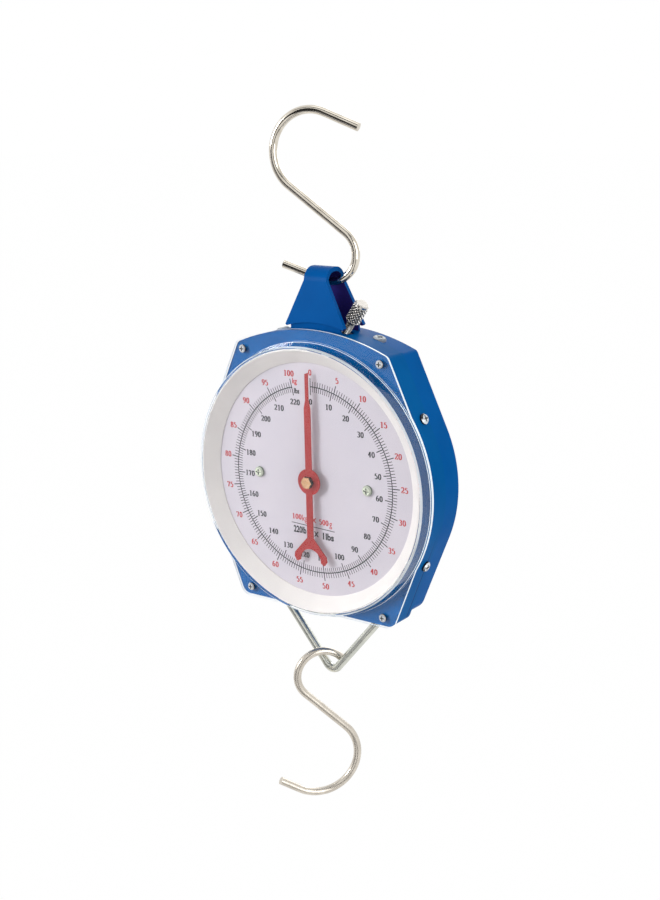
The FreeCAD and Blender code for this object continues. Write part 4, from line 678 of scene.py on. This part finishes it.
def rule(bm, x, z, long, thick, droop):
    """A level line whose right end droops by some degrees, as the print is a little askew."""
    middle = Matrix.Translation(DIAL + Vector((x, -INK / 2, z)))
    leaned = Matrix.Rotation(math.radians(droop), 4, "Y")
    bar = Matrix.Diagonal((long, INK, thick, 1))
    bmesh.ops.create_cube(bm, size=1, matrix=middle @ leaned @ bar)


def circle_line(bm):
    """The scale circle's line: a short bar's right side, spun along the scale."""
    middle = Matrix.Translation(DIAL + Vector((0, 0, SCALE_R)))
    bar = Matrix.Diagonal((0.02 * MM, INK, LINE, 1))
    made = bmesh.ops.create_cube(bm, size=1, matrix=middle @ bar)
    sides = {side for vert in made["verts"] for side in vert.link_faces}
    right_side = max(sides, key=lambda side: side.calc_center_median().x)
    bmesh.ops.spin(bm, geom=[right_side], cent=DIAL, axis=(0, 1, 0), angle=FULL_SCALE, steps=180,
                   dvec=(0, 0, 0))


red_print = bmesh.new()
numerals(red_print, KG_FULL, KG_NUMBERED, KG_R, height=4.5 * MM, pitch=3.15 * MM)
words(red_print, "kg", -14.2 * MM, 72.6 * MM, height=4 * MM, wide=0.85, weight=0.03)
number(red_print, 100, -15.4 * MM, -29.7 * MM, height=4.2 * MM, pitch=3 * MM)
words(red_print, "kg", -8.2 * MM, -30.2 * MM, height=5 * MM, wide=0.8, weight=0.01)
number(red_print, "×", 0.4 * MM, -30.2 * MM, height=4.6 * MM, pitch=3.4 * MM)
number(red_print, 500, 9.3 * MM, -30.5 * MM, height=4.4 * MM, pitch=2.9 * MM)
words(red_print, "g", 15.5 * MM, -30.8 * MM, height=5 * MM, wide=0.8, weight=0.01)
piece("red_print", red_print, red_ink, "housing")

black_print = bmesh.new()
numerals(black_print, LB_FULL, LB_NUMBERED, LB_R, height=4.4 * MM, pitch=3 * MM)
words(black_print, "lbs", -12.4 * MM, 65.4 * MM, height=3.7 * MM, wide=0.85, weight=0.035)
words(black_print, "220lb", -12.8 * MM, -39.7 * MM, height=5 * MM, wide=0.76, weight=0.035)
number(black_print, "×", 2.2 * MM, -40.6 * MM, height=5 * MM, pitch=3.6 * MM)
words(black_print, "1lbs", 12.6 * MM, -41.2 * MM, height=5 * MM, wide=1, weight=0.04)
rule(black_print, -0.7 * MM, -35.4 * MM, long=39.4 * MM, thick=0.55 * MM, droop=2)
ticks(black_print, KG_FULL * 2, FINE_TICK, FINE_LINE, skip=KG_NUMBERED * 2)  # every half kilogram
ticks(black_print, KG_FULL // KG_NUMBERED, TICK, LINE)
ticks(black_print, LB_FULL, -FINE_TICK, FINE_LINE, skip=LB_NUMBERED)  # every pound
ticks(black_print, LB_FULL // LB_NUMBERED, -TICK, LINE)
circle_line(black_print)
piece("black_print", black_print, black_ink, "housing")

# --- studio ------------------------------------------------------------------------------------


def background_share(nodes):
    """1 for the rays that see the background: the eye's, a mirror's and those through glass, as
    long as they met no matt surface on their way."""
    rays = nodes.node("ShaderNodeLightPath").outputs
    seen = nodes.math("MAXIMUM", rays["Is Camera Ray"], rays["Is Glossy Ray"])
    seen = nodes.math("MAXIMUM", seen, rays["Is Transmission Ray"])
    return seen * (Number(nodes, rays["Diffuse Depth"]) < 0.5)


SKY_LIGHT = 0.5  # strength of the world for the rays that light the object
world = bpy.data.worlds.new("studio")
bpy.context.scene.world = world
world.use_nodes = True
sky = Nodes(world.node_tree)
sky.feed(world.node_tree.nodes["Background"], {
    "Color": (1, 1, 1, 1), "Strength": sky.span(background_share(sky), 0, 1, to_low=SKY_LIGHT)})

MIDDLE = (cad_box[0] + cad_box[1]) / 2


def lamp(name, place, wide, high, power):
    """A soft box of wide by high metres and power watts, aimed at the object."""
    light = bpy.data.lights.new(name, "AREA")
    light.shape = "RECTANGLE"
    light.size = wide
    light.size_y = high
    light.energy = power
    holder = bpy.data.objects.new(name, light)
    bpy.context.scene.collection.objects.link(holder)
    holder.location = place
    holder.rotation_mode = "QUATERNION"
    holder.rotation_quaternion = (MIDDLE - holder.location).to_track_quat("-Z", "Y")


lamp("key", place=(-1.5, -1.5, 0.3), wide=0.5, high=0.9, power=23)
lamp("fill", place=(1.9, -0.7, 0.1), wide=1.2, high=1.6, power=14)
lamp("top", place=(0.2, -0.3, 1.8), wide=1.4, high=1.4, power=3)
lamp("back", place=(-0.4, 1.9, 0.4), wide=1.6, high=1.2, power=12)


def stage_sheet(name, wide, high, matrix, colour):
    """A flat matt sheet of the studio, and its finish."""
    bm = bmesh.new()
    bmesh.ops.create_grid(bm, x_segments=8, y_segments=8, size=0.5,
                          matrix=matrix @ Matrix.Diagonal((wide, high, 1, 1)))
    mesh = bpy.data.meshes.new(name)
    bm.to_mesh(mesh)
    bm.free()
    paint = Finish(name, Base_Color=colour, Roughness=0.9)
    mesh.materials.append(paint.material)
    made = bpy.data.objects.new(name, mesh)
    bpy.context.scene.collection.objects.link(made)
    return made, paint


FLOOR_WIDE = 60
FLOOR_DOWN = 1.6  # under the hang point
FLOOR_GLOW = 0.996  # share of white; the rest is matt and takes the shadow
_, paint = stage_sheet("floor", FLOOR_WIDE, FLOOR_WIDE, Matrix.Translation((0, 0, -FLOOR_DOWN)),
                       (0.8, 0.8, 0.8, 1))
glow = paint.node("ShaderNodeEmission")
paint.surface(paint.blend(background_share(paint) * FLOOR_GLOW, paint.shader.outputs[0],
                          glow.outputs[0]))

# Cards that only mirrors show. Two dark uprights, a bar over the scale and one below it draw the
# dark lines along the bright wires. A grey sheet keeps white glare off the clear cover.
CARD_FAR = 1.6
DARK, GREY = 0.02, 0.42
CARDS = (  # name, azimuth and elevation from the object's middle, width, height, shade
    ("dark_upright_left", -14, 0, 0.55, 2.2, DARK),
    ("dark_upright_right", 40, 4, 0.5, 2.6, DARK),
    ("dark_bar_high", 10, 62, 2.6, 0.4, DARK),
    ("grey_sheet", -42, -14, 0.9, 1.4, GREY),
    ("dark_bar_low", 10, -52, 2.6, 0.4, DARK),
)
for name, azimuth, elevation, wide, high, shade in CARDS:
    away = direction(azimuth, elevation)
    facing = away.to_track_quat("Z", "Y").to_matrix().to_4x4()
    sheet, _ = stage_sheet(name, wide, high, Matrix.Translation(MIDDLE + away * CARD_FAR) @ facing,
                           (shade, shade, shade * 1.1, 1))
    for rays in ("camera", "diffuse", "transmission", "shadow", "volume_scatter"):
        setattr(sheet, "visible_" + rays, False)

bpy.context.scene.view_settings.view_transform = "Standard"
